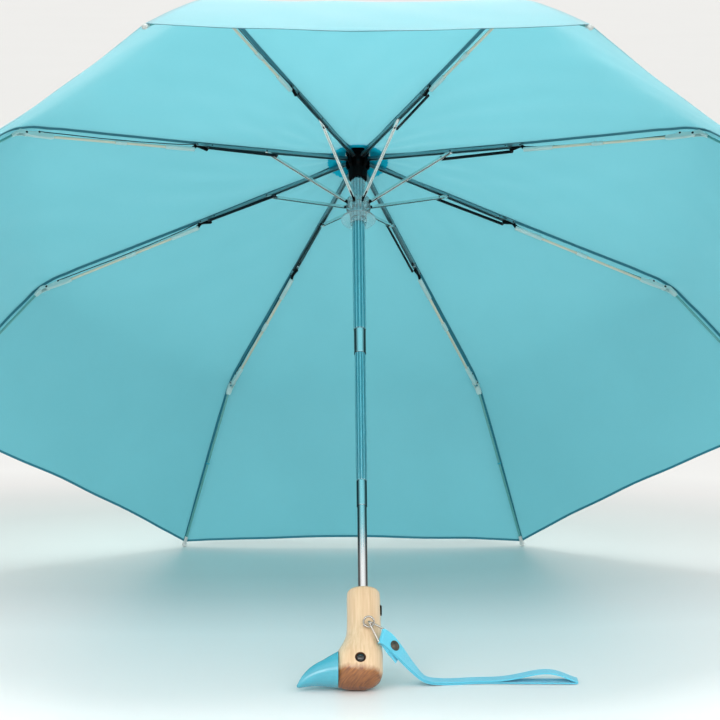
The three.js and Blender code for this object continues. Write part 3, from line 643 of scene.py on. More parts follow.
def canopy_grid():
    """Points and normals of the cloth, as [gore][row][column]; a gore runs from one rib to the next."""
    share = np.arange(GORE_STEPS + 1) / GORE_STEPS
    across = 0.5 * (2 * share - 1) - 0.5 * np.cos(math.pi * share)
    columns = [row_places(u) for u in across]
    rounded = [[LINE_ROUNDED(s) for s in column] for column in columns]
    gores, normals = [], []
    for gore in range(RIBS):
        turn = math.radians(FIRST_RIB - gore * RIB_STEP) - HALF_GORE
        points = np.zeros((len(columns[0]), GORE_STEPS + 1, 3))
        for j, u in enumerate(across):
            for i, s in enumerate(columns[j]):
                soft = 0.75 * (1 - u * u)
                r = LINE_R(s) * (1 - soft) + rounded[j][i][0] * soft
                z = LINE_Z(s) * (1 - soft) + rounded[j][i][1] * soft
                r *= 1 - HEM_PULL * (s / LINE_LENGTH) ** 3 * (1 - u * u)
                along_chord, out = r * math.sin(HALF_GORE) * u, r * math.cos(HALF_GORE)
                x = out * math.cos(turn) + along_chord * math.sin(turn)
                y = out * math.sin(turn) - along_chord * math.cos(turn)
                points[i, j] = (x, y, z + ripple(s, math.atan2(y, x), u))
        normal = np.cross(np.gradient(points, axis=0), np.gradient(points, axis=1))
        normal /= np.linalg.norm(normal, axis=2, keepdims=True)
        if normal[5, 5, 2] < 0:
            normal = -normal
        gores.append(points)
        normals.append(normal)
    for gore in range(RIBS):
        last, first = normals[gore - 1][:, -1], normals[gore][:, 0]
        shared = last + first
        shared /= np.linalg.norm(shared, axis=1, keepdims=True)
        normals[gore - 1][:, -1] = shared
        normals[gore][:, 0] = shared
    return gores, normals


GORES, GORE_NORMALS = canopy_grid()


def half_gores(number, first, last):
    """The columns around a rib, from the middle of one gore to the middle of the next, with their normals."""
    half, rows = GORE_STEPS // 2, slice(first, last + 1)
    return [
        np.concatenate([grid[number - 2][rows, half:-1], grid[number - 1][rows, : half + 1]], 1)
        for grid in (GORES, GORE_NORMALS)
    ]


def grid_faces(rows, columns, base=0, flip=False):
    faces = []
    for i in range(rows - 1):
        for j in range(columns - 1):
            a = base + i * columns + j
            face = [a, a + 1, a + columns + 1, a + columns]
            faces.append(face[::-1] if flip else face)
    return faces


def canopy_piece(name, number, part, body, side=None):
    """The cloth around one rib, over one of its members: sheet, rib seam and, at the tail, the hem. A side,
    as seen from the crown, gives one half of it."""
    index = list(ROWS).index(part)
    first, last = PIECE_ROWS[index], PIECE_ROWS[index + 1]
    points, normals = half_gores(number, first, last)
    spine = points.shape[1] // 2
    if side:
        kept = slice(0, spine + 1) if side == "left" else slice(spine, None)
        points, normals = points[:, kept], normals[:, kept]
        spine = spine if side == "left" else 0
    rows, columns = points.shape[:2]
    flip = np.dot(np.cross(points[1, 0] - points[0, 0], points[0, 1] - points[0, 0]), normals[0, 0]) > 0
    verts, norms = [points.reshape(-1, 3)], [normals.reshape(-1, 3)]
    faces = grid_faces(rows, columns, 0, flip)
    cloth = len(faces)

    def strip(lines, line_normals, turned):
        """Lines of points side by side, a little under the cloth."""
        base = sum(len(v) for v in verts)
        lowered = [line - n * SEAM_DROP for line, n in zip(lines, line_normals)]
        verts.append(np.stack(lowered, 1).reshape(-1, 3))
        norms.append(np.stack(line_normals, 1).reshape(-1, 3))
        return grid_faces(len(lines[0]), len(lines), base, turned)

    seam, seam_normals = [], []
    for step in (-1, 0, 1):
        if 0 <= spine + step < columns:
            away = points[:, spine + step] - points[:, spine]
            away /= np.maximum(np.linalg.norm(away, axis=1, keepdims=True), 1e-9)
            seam.append(points[:, spine] + away * SEAM_WIDTH)
            seam_normals.append(normals[:, spine + 2 * step])
    faces += strip(seam, seam_normals, flip)
    if part == "tail":
        edge, up = points[-1], points[-2] - points[-1]
        up /= np.linalg.norm(up, axis=1, keepdims=True)
        hem = [edge + up * HEM_WIDTH, edge + up * HEM_WIDTH * 0.5, edge - up * 0.2]
        faces += strip(hem, [normals[-1]] * 3, not flip)
    turn, shift = np.array(U.to_3x3()), np.array(U.translation)
    verts, norms = np.concatenate(verts) * MM @ turn.T + shift, np.concatenate(norms) @ turn.T
    mesh = bpy.data.meshes.new(name)
    mesh.from_pydata(verts.tolist(), [], faces)
    mesh.materials.append(M["canopy"])
    mesh.materials.append(M["seam"])
    mesh.polygons.foreach_set("use_smooth", [True] * len(faces))
    mesh.polygons.foreach_set("material_index", [0] * cloth + [1] * (len(faces) - cloth))
    uv = mesh.uv_layers.new(name="UVMap")
    flat = flat_places(points)
    flat = np.concatenate([flat, np.zeros((len(verts) - len(flat), 2))])
    order = np.zeros(len(mesh.loops), int)
    mesh.loops.foreach_get("vertex_index", order)
    uv.data.foreach_set("uv", (flat[order] * MM).ravel())
    mesh.normals_split_custom_set_from_vertices(norms.tolist())
    obj = shown(bpy.data.objects.new(name, mesh))
    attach(obj, body)
    if side:
        corner = points[-1, columns - 1 - spine] - points[-1, spine]
        if part == "tail":
            line = points[-1, spine] - points[0, spine]
            corner -= line * corner.dot(line) / line.dot(line)
            across = np.array(rib_turn(number).to_3x3() @ Vector((0, 1, 0)))
            across *= corner.dot(across)
            corner = across + (corner - across) * (1 - PLEAT_DEPTH)
        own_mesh(obj)
    else:
        squash_with_fold(obj)
    along_rib = row_places(1)
    return obj


def squash_with_fold(obj):
    """Gives a piece a mesh of its own."""
    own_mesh(obj)


def flat_places(points):
    """Where the cloth's points lie when it is flat: distance across from the rib, and along it."""
    rows, columns = points.shape[:2]
    middle = columns // 2
    steps = np.linalg.norm(np.diff(points, axis=1), axis=2)
    across = np.concatenate([np.zeros((rows, 1)), np.cumsum(steps, axis=1)], 1)
    across -= across[:, middle : middle + 1]
    down = np.linalg.norm(np.diff(points, axis=0), axis=2)
    along = np.concatenate([np.zeros((1, columns)), np.cumsum(down, axis=0)], 0)
    return np.stack([across, along], 2).reshape(-1, 2)


def canopy():
    """The cloth in pieces that part at the folds. The outer ones are in halves, because a half's outer
    corner lies below its rib."""
    for k in range(1, RIBS + 1):
        inner = canopy_piece(f"cloth_inner_{k}", k, "inner", f"inner_rib_{k}")
        for side in ("left", "right"):
            canopy_piece(f"cloth_middle_{k}_{side}", k, "middle", f"middle_rib_{k}", side)
            canopy_piece(f"cloth_tail_{k}_{side}", k, "tail", f"tail_rib_{k}", side)
        if k == 1:
            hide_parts("canopy")


canopy()

# ---- Ribs ----


STRUT_PIN_AT = 10.4  # along a strut, from its upper pivot
STRUT_PIN = STRUT_PIVOT + (RUNNER_PIVOT - STRUT_PIVOT).normalized() * STRUT_PIN_AT
MIDDLE_PIN = pivot("link_1_hinge")
MIDDLE_LENGTH = (ELBOW_PIVOT - MIDDLE_PIVOT).length
ROD_FROM = Vector((5, 0, -4.9))
ROD_TO = Vector((MIDDLE_LENGTH - 6, 0, -1.5))


def on_rod(share):
    return ROD_FROM.lerp(ROD_TO, share)


def hollow_channel(length, half, leg, height, web, end_cut):
    """A channel open below, as rings of its section, with its web cut back before the end."""
    ease = 0.35
    outline = [(-half, -height), (-half, height - ease), (-half + ease, height), (half - ease, height)]
    outline += [(half, height - ease), (half, -height), (leg, -height), (leg, height - web)]
    outline += [(-leg, height - web), (-leg, -height)]
    return loft([[(x, y, z) for y, z in outline] for x in (-1.2, 0.0, length - end_cut)])


def inner_rib(number, at):
    length = (MIDDLE_PIVOT - CROWN_PIVOT).length
    body = f"inner_rib_{number}"
    ears = [prism(bar((length - 10, 0), (length, 0), 1.6), side * 1.4, side * 2.0, 0.1) for side in (-1, 1)]
    channel = hollow_channel(length, 2.0, 1.4, 1.6, 0.6, 9.0)
    lip = prism(bar((length - 12, 0), (length - 8.8, 0), 1.6), -2.0, 2.0, 0.15)
    piece(f"rib_channel_{number}", *joined(channel, lip, *ears), "rib", body, "rib_aluminium", at, [body], 35)
    strut_at = (STRUT_PIVOT - CROWN_PIVOT).length
    lean = abs((STRUT_PIVOT - CROWN_PIVOT).angle_signed(MIDDLE_PIVOT - CROWN_PIVOT))
    pins = [rivet(0, 0, 2.0, 0.8), rivet(strut_at * math.cos(lean), -strut_at * math.sin(lean), 2.0, 1.0)]
    pins += [rivet(length, 0, 2.0, 1.1), rivet(length - 15.5, 0.2, 2.0, 0.8)]
    piece(f"rib_rivets_{number}", *joined(*pins), "rivet", body, "spring_steel", at)


def strut(number, at):
    length = (RUNNER_PIVOT - STRUT_PIVOT).length
    body = f"strut_{number}"
    points, faces = hollow_channel(length, 1.45, 0.75, 1.35, 0.5, 5.0)
    blade = [(x, y, -z) for x, y, z in points], faces
    ear = prism(bar((0, 0), (6, 0), 1.2), -1.2, 1.2, 0.15)
    piece(f"strut_bar_{number}", *joined(blade, ear), "strut", body, "strut_steel", at, [body], 35)
    end = prism(bar((length - 9.5, 0), (length, 0), 1.15), -1.15, 1.15, 0.15)
    piece(f"strut_end_{number}", *end, "black", body, "black_plastic", at)
    piece(f"strut_pin_{number}", *rivet(STRUT_PIN_AT, 0, 1.4, 0.8), "rivet", body, "spring_steel", at)


def link(number, at):
    length = (STRUT_PIN - MIDDLE_PIN).length
    body = f"link_{number}"
    outline = bar((0, 0), (length, 0), 1.5)
    piece(f"link_bar_{number}", *prism(outline, 2.5, 3.8, 0.2), "link", body, "black_steel", at, [body], 35)
    heads = [rivet(x, 0, 0.9, 0.9, 3.15) for x in (0, length)]
    piece(f"link_rivets_{number}", *joined(*heads), "rivet", body, "spring_steel", at)


def tube_between(a, b, radius, rounding=0.5, sides=14):
    """A rod with eased ends between two points."""
    a, b = Vector(a), Vector(b)
    along = (b - a).normalized()
    stops = [a, a + along * rounding, b - along * rounding, b]
    return sweep(stops, [radius - rounding * 0.6, radius, radius, radius - rounding * 0.6], sides)


def middle_rib(number, at):
    body = f"middle_rib_{number}"
    arms = [prism(bar((0, 0), end, 1.5), -1.1, 1.1, 0.2) for end in ((-9.6, -4.2), (6.5, -4.9))]
    piece(f"bracket_{number}", *joined(*arms), "black", body, "black_steel", at, [body], 35)
    sleeve = tube_between(on_rod(-0.008), on_rod(0.175), 2.2, 0.4, 18)
    piece(f"ferrule_{number}", *sleeve, "clear", body, "fibreglass", at)
    rod = tube_between(on_rod(0.0), on_rod(1.0), 1.35, 0.2)
    piece(f"rod_{number}", *rod, "rod", body, "fibreglass", at)
    middle = on_rod(0.455)
    post = tube_between(middle + Vector((-2.4, 0, 1)), middle + Vector((-2.4, 0, 3.4)), 0.8, 0.2, 10)
    hook = joined(tube_between(on_rod(0.42), on_rod(0.49), 2.15, 0.5, 16), post)
    piece(f"clip_{number}", *hook, "clear", body, "fibreglass", at)
    n = MIDDLE_LENGTH
    shape = [(-27, -3.6), (-24, -4.1), (-8, -3.1), (-1, -2.3), (1.6, -1.4), (2.2, 0), (1.6, 1.4), (-1, 2.2)]
    shape += [(-9, 2.4), (-13, 3.4), (-15.5, 2.6), (-18, 1.0), (-26, 0.6), (-27.4, -0.6)]
    fitting = prism([(n + x, z) for x, z in shape], -1.7, 1.7, 0.45)
    piece(f"elbow_{number}", *fitting, "clear", body, "fibreglass", at, smooth=40)
    pins = joined(rivet(n, 0, 2.75, 1.25), rivet(n - 13, 1.7, 1.7, 1.15))
    piece(f"elbow_rivets_{number}", *pins, "link", body, "spring_steel", at)
    line = [(-8.5, 0.4), (2, -0.2), (20, -1.6), (60, -1.9), (100, -0.9), (n - 40, 0.8), (n - 13, 2.0)]
    wire = [p for a, b in zip(line, line[1:]) for p in (a, ((a[0] + b[0]) / 2, (a[1] + b[1]) / 2))]
    wire = sweep([(x, 1.55, z) for x, z in [*wire, line[-1]]], 0.45, 8)
    piece(f"pull_wire_{number}", *wire, "link", body, "black_steel", at)


def tail_rib(number, at):
    body = f"tail_rib_{number}"
    cheek = [(-1.9, 0.6), (-2.0, 0), (-1.6, -1.2), (-0.6, -1.9), (0.8, -1.8), (3, 0.4), (8.5, 3.4)]
    cheek += [(12.5, 3.7), (13, 4.8), (12.5, 5.9), (4.0, 5.9), (2.0, 4.6), (-1.0, 1.7)]
    sides = [prism(cheek, 2.0, 2.7, 0.12), prism(cheek, -2.7, -2.0, 0.12)]
    holder = prism([(6, 3.6), (14, 3.6), (14.6, 4.8), (14, 6.0), (6, 6.0), (5, 4.8)], -2.2, 2.2, 0.3)
    piece(f"cheeks_{number}", *joined(*sides, holder), "clear", body, "black_steel", at, [body], 35)
    rod = tube_between((10, 0, TAIL_RISE), (TAIL_REACH, 0, TAIL_RISE), TAIL_ROD_RADIUS, 0.2, 12)
    piece(f"tail_rod_{number}", *rod, "tail", body, "fibreglass", at)
    profile = [(0, -9), (1.5, -8.8), (1.75, -8.2), (1.8, -3), (2.5, -1.4), (2.7, 0), (2.4, 1.3), (1.4, 2.3)]
    points, faces = lathe([*profile, (0, 2.65)], 18)
    cap = [(TAIL_REACH + p[2], p[1], TAIL_RISE + p[0]) for p in points], faces
    piece(f"tip_cap_{number}", *cap, "cap", body, "fibreglass", at)
    ties = []
    for x in (TAIL_REACH / 2 - 0.5, TAIL_REACH / 2 + 0.3):
        ring = [(x, 1.6 * math.cos(a), TAIL_RISE + 0.1 + 1.7 * math.sin(a)) for a in turns(14)]
        ties.append(sweep(ring, 0.35, 6, closed=True))
    piece(f"tie_{number}", *joined(*ties), "stitch", body, "canopy_fabric", at)


def ribs():
    for k in range(1, RIBS + 1):
        turned = U @ rib_turn(k)
        inner_rib(k, turned @ member(CROWN_PIVOT, MIDDLE_PIVOT))
        strut(k, turned @ member(STRUT_PIVOT, RUNNER_PIVOT))
        link(k, turned @ member(MIDDLE_PIN, STRUT_PIN))
        middle_rib(k, turned @ member(MIDDLE_PIVOT, ELBOW_PIVOT))
        tail_rib(k, turned @ member(ELBOW_PIVOT, tail_target()))


ribs()

# ---- Shaft and hub ----


def round_piece(name, profile, material, body, slot, replaces, sides=64, grooves=0, depth=0.0, bore=0.0):
    solid = lathe(profile, sides, grooves, depth, bore)
    return piece(name, *solid, material, body, slot, replaces=replaces, smooth=35)


def tube(name, outer, inner, top, bottom, material, body, slot, grooves=0, foot=0.3):
    profile = [(inner, top), (outer - 0.25, top), (outer, top - 0.25), (outer, bottom + foot)]
    profile += [(outer - foot, bottom), (inner, bottom)]
    depth = (outer - inner) * 0.4 if grooves else 0.0
    round_piece(f"{name}_skin", profile, material, body, slot, [name], 96, grooves, depth, inner)


def block(low, high):
    (x, y, z), (far_x, far_y, far_z) = low, high
    corners = [(*at, level) for level in (z, far_z) for at in ((x, y), (far_x, y), (far_x, far_y),
               (x, far_y))]
    return corners, [[3, 2, 1, 0], [4, 5, 6, 7], [0, 1, 5, 4], [1, 2, 6, 5], [2, 3, 7, 6], [3, 0, 4, 7]]


def rib_slots(near, far, low, high, half):
    """Boxes in the ribs' directions, to cut slots."""
    points, faces = block((near, -half, low), (far, half, high))
    return [([tuple(rib_turn(k).to_3x3() @ Vector(p)) for p in points], faces) for k in range(1, RIBS + 1)]


def hoop(radius, z, wire):
    return sweep([(radius * math.cos(a), radius * math.sin(a), z) for a in turns(48)], wire, 8, closed=True)


def crown():
    profile = [(0, 8), (6.6, 7.8), (9.6, 6.6), (11.3, 5.0), (11.8, 3.4), (11.8, -7.6),
               (11.6, -8.6), (11.0, -9.4)]
    profile += [(9.9, -10.2), (9.5, -11.0), (8.9, -22.2), (8.5, -23), (6.5, -23), (6.5, 0.4), (0, 0.4)]
    hub = round_piece("crown_hub", profile, "black", "top_tube", "black_plastic", ["crown"])
    carve(hub, *rib_slots(7.6, 14, -12, 2.8, 2.4))
    piece("crown_wire", *hoop(9.8, 0, 0.55), "rivet", "top_tube", "spring_steel")


def top_cap():
    profile = [(0, 9.3), (11.6, 9.3), (12.2, 10.2), (12.0, 11.4), (10.8, 13.2), (8.6, 14.9), (5.8, 16.2)]
    profile += [(4.1, 17.2), (3.5, 18.8), (3.3, 20.2), (2.7, 21.3), (1.6, 21.9), (0, 22.1)]
    round_piece("top_cap_knob", profile, "black", "top_tube", "black_plastic", ["top_cap"])


def runner():
    z = RUNNER_PIVOT.y
    shape = [(6.5, 28), (7.1, 28), (7.5, 27.5), (7.5, 24), (7.1, 23.5), (7.1, 8), (7.8, 7),
             (11, 6.2), (11.8, 5.4)]
    shape += [(12, 4.4), (12, -4.4), (11.8, -5.4), (11, -6.2), (8.4, -7.4), (8, -8.4), (8, -15.8),
              (16.2, -16.4)]
    shape += [(16.8, -16.9), (16.8, -17.7), (16.2, -18.2), (8.2, -18.6), (8, -21.6), (7.6, -22), (6.5, -22)]
    profile = [(r, z + rise) for r, rise in shape]
    body = round_piece("runner_body", profile, "runner", "runner", "black_plastic", ["runner"], 96)
    carve(body, *rib_slots(8.1, 20, z - 7, z + 10, 1.5))
    piece("runner_wire", *hoop(9.5, z, 0.5), "chrome", "runner", "chrome")


def rosette():
    """A scalloped patch of cloth under the canopy's centre, a leaf of it under each rib's cloth."""
    columns, rows = 50, 8
    inner, outer, scallop = 12.4, 29.3, 0.9
    for k in range(1, RIBS + 1):
        start = math.radians(FIRST_RIB - (k - 1) * RIB_STEP) - HALF_GORE
        points = []
        for i in range(rows + 1):
            for j in range(columns + 1):
                a = start + 2 * HALF_GORE * j / columns
                to_middle = HALF_GORE - abs(a - start - HALF_GORE)
                chord = math.cos(HALF_GORE) / math.cos(to_middle)
                r = inner + (outer + scallop * abs(math.cos(a * 20)) - inner) * i / rows
                height = LINE_Z(float(np.interp(r / chord, RADII, LENGTHS))) - 1.0 - 0.25 * (i == rows)
                points.append((r * math.cos(a), r * math.sin(a), height))
        faces = grid_faces(rows + 1, columns + 1)
        body = f"inner_rib_{k}"
        leaf = piece(f"rosette_{k}", points, faces, "rosette", body, "canopy_fabric", smooth=80)
        squash_with_fold(leaf)


def opening_spring():
    coils, length, top, radius = 24, 150, -20, 3.6
    steps = coils * 16
    angles = [2 * math.pi * coils * i / steps for i in range(steps + 1)]
    path = [(radius * math.cos(a), radius * math.sin(a), top - length * i / steps)
            for i, a in enumerate(angles)]
    wire = sweep(path, 0.45, 6)
    spring = piece("spring_coil", *wire, "rivet", "top_tube", "spring_steel", replaces=["opening_spring"])
    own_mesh(spring)


tube("top_tube", 6.2, 5.5, -0.3, -200, "sleeve", "top_tube", "tube_chrome", 4)
tube("top_collar", 5.7, 5.5, -200.3, -227, "tube", "top_tube", "clear_collar", foot=0.15)
tube("middle_tube", 5.2, 4.7, -184, -366.3, "sleeve", "middle_tube", "tube_chrome", 4)
tube("middle_collar", 4.9, 4.7, -366.6, -393, "tube", "middle_tube", "clear_collar", foot=0.15)
lower = [(0, -376), (4.1, -376), (4.4, -376.4), (4.4, -519.2), (4.2, -519.4), (0, -519.4)]
round_piece("lower_tube_skin", lower, "tube", "handle", "tube_chrome", ["lower_tube"], 72)
crown()
top_cap()
runner()
rosette()
opening_spring()
catch_materials = frame["nodes"]["runner_catch"].data.materials
catch_materials.clear()
catch_materials.append(M["rivet"])

# ---- Handle ----

LEFT = [(-481, -11.8), (-481.8, -13.4), (-484, -14.5), (-494, -14.8), (-510, -14.7),
        (-524, -15.4), (-534, -18.8)]
LEFT += [(-543, -23.6), (-552, -26.4), (-562, -27.2), (-570, -26.4), (-574.4, -23.6),
         (-576.6, -17), (-577, -9)]
RIGHT = [(-481, 12.0), (-481.8, 13.8), (-484, 15.0), (-494, 15.4), (-510, 15.5), (-530, 15.9), (-548, 17.0)]
RIGHT += [(-560, 16.9), (-568, 15.0), (-574, 10), (-577, 3)]
DEPTH = [(-481, 11.2), (-481.8, 12.8), (-484, 14.0), (-494, 14.4), (-515, 14.4), (-534, 16.2), (-552, 18.2)]
DEPTH += [(-562, 17.6), (-570, 13.4), (-575, 8), (-577, 4)]
handle_left, handle_right, handle_depth = spline(LEFT), spline(RIGHT), spline(DEPTH)
BEAK_JOINT = -22.9
BUTTON_HEIGHT = -500
EYE_X, EYE_Z, EYE_RADIUS, SOCKET_RADIUS = -3.3, -555, 4.0, 4.9
EYE_FLOOR = handle_depth(EYE_Z) - 2.2  # how far from the shaft's plane the socket's floor is


def power(value, exponent):
    return math.copysign(abs(value) ** exponent, value)


def handle_ring(z):
    left, right, depth = handle_left(z), handle_right(z), handle_depth(z)
    middle, half = (left + right) / 2, (right - left) / 2
    ring = []
    for a in turns(88):
        x = middle + half * power(math.cos(a), 0.94)
        ring.append((max(x, BEAK_JOINT), depth * power(math.sin(a), 0.94), z))
    return ring


def y_cylinder(x, z, radius, near, far):
    return crosswise(lathe([(0, near), (radius, near), (radius, far), (0, far)], 40), x, 0, z)


def handle():
    heights = list(-481 - 6 * np.linspace(0, 1, 14) ** 1.8)
    heights += list(np.linspace(-489, -565, 39)) + list(-577 + 11 * np.linspace(1, 0, 14)[1:] ** 1.7)
    points, faces = loft([handle_ring(z) for z in heights])
    wood = piece("duck_head_wood", points, faces, "maple", "handle", "maple", replaces=["handle"], smooth=50)
    cutters = [lathe([(0, -520), (4.8, -520), (4.8, -470), (0, -470)], 48)]
    for side in ((EYE_FLOOR, 30), (-30, -EYE_FLOOR)):
        cutters.append(y_cylinder(EYE_X, EYE_Z, SOCKET_RADIUS, *side))
    right = handle_right(BUTTON_HEIGHT)
    cutters.append(block((right - 7.4, -3.8, BUTTON_HEIGHT - 5.6), (right + 8, 3.8, BUTTON_HEIGHT + 5.6)))
    carve(wood, *cutters)


def eyes():
    rim = SOCKET_RADIUS
    cup = [(0, 0.02), (rim - 0.05, 0.02), (rim - 0.05, 1.95), (rim - 0.5, 1.5), (EYE_RADIUS + 0.2, 0.5)]
    cup += [(EYE_RADIUS, 0.3), (0, 0.3)]
    dome = [(0, 0.32), (EYE_RADIUS, 0.32)]
    dome += [(EYE_RADIUS * math.cos(a), 0.7 + 2.3 * math.sin(a)) for a in np.linspace(0, math.pi / 2, 11)]
    for name, side in (("near", -1), ("far", 1)):
        for part, profile, material in (("socket", cup, "socket"), ("eye", dome, "eye")):
            points, faces = lathe([(r, EYE_FLOOR + rise) for r, rise in profile])
            placed = crosswise((points, faces), EYE_X, 0, EYE_Z, side)
            slot, stands_for = ("eye", [f"eye_{name}"]) if part == "eye" else ("maple", [])
            piece(f"{part}_{name}_side", *placed, material, "handle", slot, replaces=stands_for)


def beak():
    top = spline([(0, -542.6), (5, -545.4), (12, -550), (23, -556.4), (31, -564.5), (36.4, -573.4)])
    bottom = spline([(0, -574.6), (8, -573.8), (18, -573.4), (28, -574.6), (36.4, -576.4)])
    width = spline([(0, 15.2), (10, 13.6), (20, 10.6), (30, 6.4), (36.4, 2.4)])
    rings = []
    for x in list(np.linspace(0, 34, 30)) + [35, 35.8, 36.2, 36.4]:
        high, low = top(x), bottom(x)
        end = math.sqrt(max(0.0, 1 - max(0.0, (x - 33.6) / 2.9) ** 2)) * 0.85 + 0.15
        ring = []
        for a in turns(56):
            y = width(x) * end * power(math.cos(a), 0.9)
            z = (high + low) / 2 + (high - low) / 2 * end * power(math.sin(a), 0.9)
            ring.append((BEAK_JOINT - 0.02 - x * 1.008, y, z))
        rings.append(ring)
    points, faces = loft(rings)
    piece("painted_beak", points, faces, "beak", "handle", "beak_paint", replaces=["beak"], smooth=50)


def button():
    outer = handle_right(BUTTON_HEIGHT) + 1.2
    rings = []
    for back, inset in ((5.6, 0), (1.0, 0), (0.45, 0.25), (0.12, 0.8), (0, 1.6)):
        outline = bar((0, 1.8), (0, -1.8), 3.4 - inset, 12)
        rings.append([(outer - back, y, z + BUTTON_HEIGHT) for y, z in outline])
    piece("push_button", *loft(rings), "black", "release_button", "black_plastic", replaces=["release_button"])


SCREW_BASE, SCREW_CENTRE = Vector((0.9, -12.6, -521.4)), Vector((4.4, -20, -521.3))
SCREW_FACES = Vector((0, 0.845, 0.535)).normalized()
RING_BAR = [Vector((18.5, -15, -526.5)), Vector((14.1, -14.4, -540.9))]
RING_WIRE, RING_BEND = 0.9, 1.9


def screw_eye():
    radius = 4.6
    in_plane = SCREW_BASE - SCREW_CENTRE
    in_plane = (in_plane - SCREW_FACES * in_plane.dot(SCREW_FACES)).normalized()
    other = SCREW_FACES.cross(in_plane)
    loop = [SCREW_CENTRE + (in_plane * math.cos(a) + other * math.sin(a)) * radius for a in turns(48)]
    foot = SCREW_CENTRE + in_plane * radius
    shank = [SCREW_BASE.lerp(foot, t) for t in np.linspace(-0.3, 1, 25)]
    radii = [0.95 + 0.12 * (i % 2) if i < 17 else 0.95 for i in range(25)]
    collar = [SCREW_BASE.lerp(foot, t) for t in (0.30, 0.34, 0.44, 0.48)]
    ends = sweep(shank, radii, 12), sweep(collar, [1.2, 1.7, 1.7, 1.2], 14)
    wire = joined(sweep(loop, 0.88, 12, closed=True), *ends)
    piece("screw_eye_wire", *wire, "chrome", "handle", "chrome", replaces=["screw_eye"])


def towards(a, b, distance):
    return a + (b - a).normalized() * distance


def strap_ring():
    corners = [SCREW_CENTRE - SCREW_FACES * 2.3, SCREW_CENTRE + SCREW_FACES * 2.3, *RING_BAR]
    path = []
    for i, corner in enumerate(corners):
        before, after = corners[i - 1], corners[(i + 1) % len(corners)]
        a, b = towards(corner, before, RING_BEND), towards(corner, after, RING_BEND)
        path += [a * (1 - t) ** 2 + corner * 2 * t * (1 - t) + b * t * t for t in np.linspace(0, 1, 9)]
        end = towards(after, corner, RING_BEND)
        path += [b.lerp(end, t) for t in np.linspace(0, 1, 7)[1:-1]]
    wire = sweep(path, RING_WIRE, 12, closed=True)
    piece("triangle_ring", *wire, "chrome", "wrist_strap", "chrome", replaces=["strap_ring"])


handle()
eyes()
beak()
button()
screw_eye()
strap_ring()

# ---- Wrist strap ----

WEB_WIDTH, WEB_THICKNESS = 14.6, 1.15
WEB_SECTION = [(-0.5, -0.25), (-0.49, -0.5), (0.49, -0.5), (0.5, -0.25)]
WEB_SECTION += [(-u, -v) for u, v in WEB_SECTION]
STRAND_GAP = 0.72  # from the strap's middle line to each strand's
LOOP_HEIGHT = 7.5  # how far the upper strand is lifted near the far end


def curve_through(route, count):
    """Points spaced evenly along a smooth curve through the route."""
    p = [Vector(x) for x in route]
    p = [p[0] * 2 - p[1], *p, p[-1] * 2 - p[-2]]
    dense = []
    for a, b, c, d in zip(p, p[1:], p[2:], p[3:]):
        knots = [0.0]
        for x, y in ((a, b), (b, c), (c, d)):
            knots.append(knots[-1] + math.sqrt((y - x).length))
        for t in np.linspace(knots[1], knots[2], 24, endpoint=False):
            def blend(x, y, low, high):
                return x * ((high - t) / (high - low)) + y * ((t - low) / (high - low))

            ab, bc, cd = blend(a, b, *knots[0:2]), blend(b, c, *knots[1:3]), blend(c, d, *knots[2:4])
            left, right = blend(ab, bc, knots[0], knots[2]), blend(bc, cd, knots[1], knots[3])
            dense.append(blend(left, right, knots[1], knots[2]))
    dense.append(p[-2])
    far = np.concatenate([[0], np.cumsum([(b - a).length for a, b in zip(dense, dense[1:])])])
    xyz = np.array([list(v) for v in dense])
    at = np.linspace(0, far[-1], count)
    return [Vector([float(np.interp(s, far, xyz[:, i])) for i in range(3)]) for s in at]


def strap_route():
    top, end = [(U @ (p * MM)) / MM for p in RING_BAR]
    bar_direction = (top - end).normalized()
    leaving = Vector((1, 0, -1))
    leaving = (leaving - bar_direction * leaving.dot(bar_direction)).normalized()
    start = top.lerp(end, 0.5) + leaving * 1.1
    x, y, z = start
    level = 1.85  # the middle line's height where the strap lies on the ground
    route = [start, start + leaving * 4, (x + 13.5, y + 1.5, z - 13), (x + 25, y + 4, z - 27.5)]
    route += [(x + 38, y + 8, level + 3.4), (x + 52, y + 12, level), (x + 90, y + 16, level)]
    route += [(x + 130, y + 15, level), (190.5, y + 14, level)]
    return curve_through(route, 121), bar_direction, top.lerp(end, 0.5), leaving


def webbing_piece(name, path, closed, replaces=()):
    """Webbing along (place, across) pairs; returns the piece and its length."""
    count, total = len(path), 0.0
    points, flat = [], []
    for i, (at, across) in enumerate(path):
        before = path[i - 1][0] if closed or i else at
        after = path[(i + 1) % count][0] if closed or i < count - 1 else at
        along = (after - before).normalized()
        across = (across - along * across.dot(along)).normalized()
        up = along.cross(across)
        total += (at - path[i - 1][0]).length if i else 0
        for u, v in WEB_SECTION:
            points.append(at + across * u * WEB_WIDTH + up * v * WEB_THICKNESS)
            flat.append((u * WEB_WIDTH * MM, total * MM))
    size = len(WEB_SECTION)
    rings = [points[i : i + size] for i in range(0, len(points), size)]
    points, faces = loft(rings, closed)
    place = Matrix.Identity(4)
    obj = piece(name, points, faces, "webbing", "wrist_strap", "strap_webbing", place, replaces, 50)
    layer = obj.data.uv_layers.new(name="UVMap")
    order = np.zeros(len(obj.data.loops), int)
    obj.data.loops.foreach_get("vertex_index", order)
    layer.data.foreach_set("uv", np.array(flat)[order].ravel())
    return obj, total


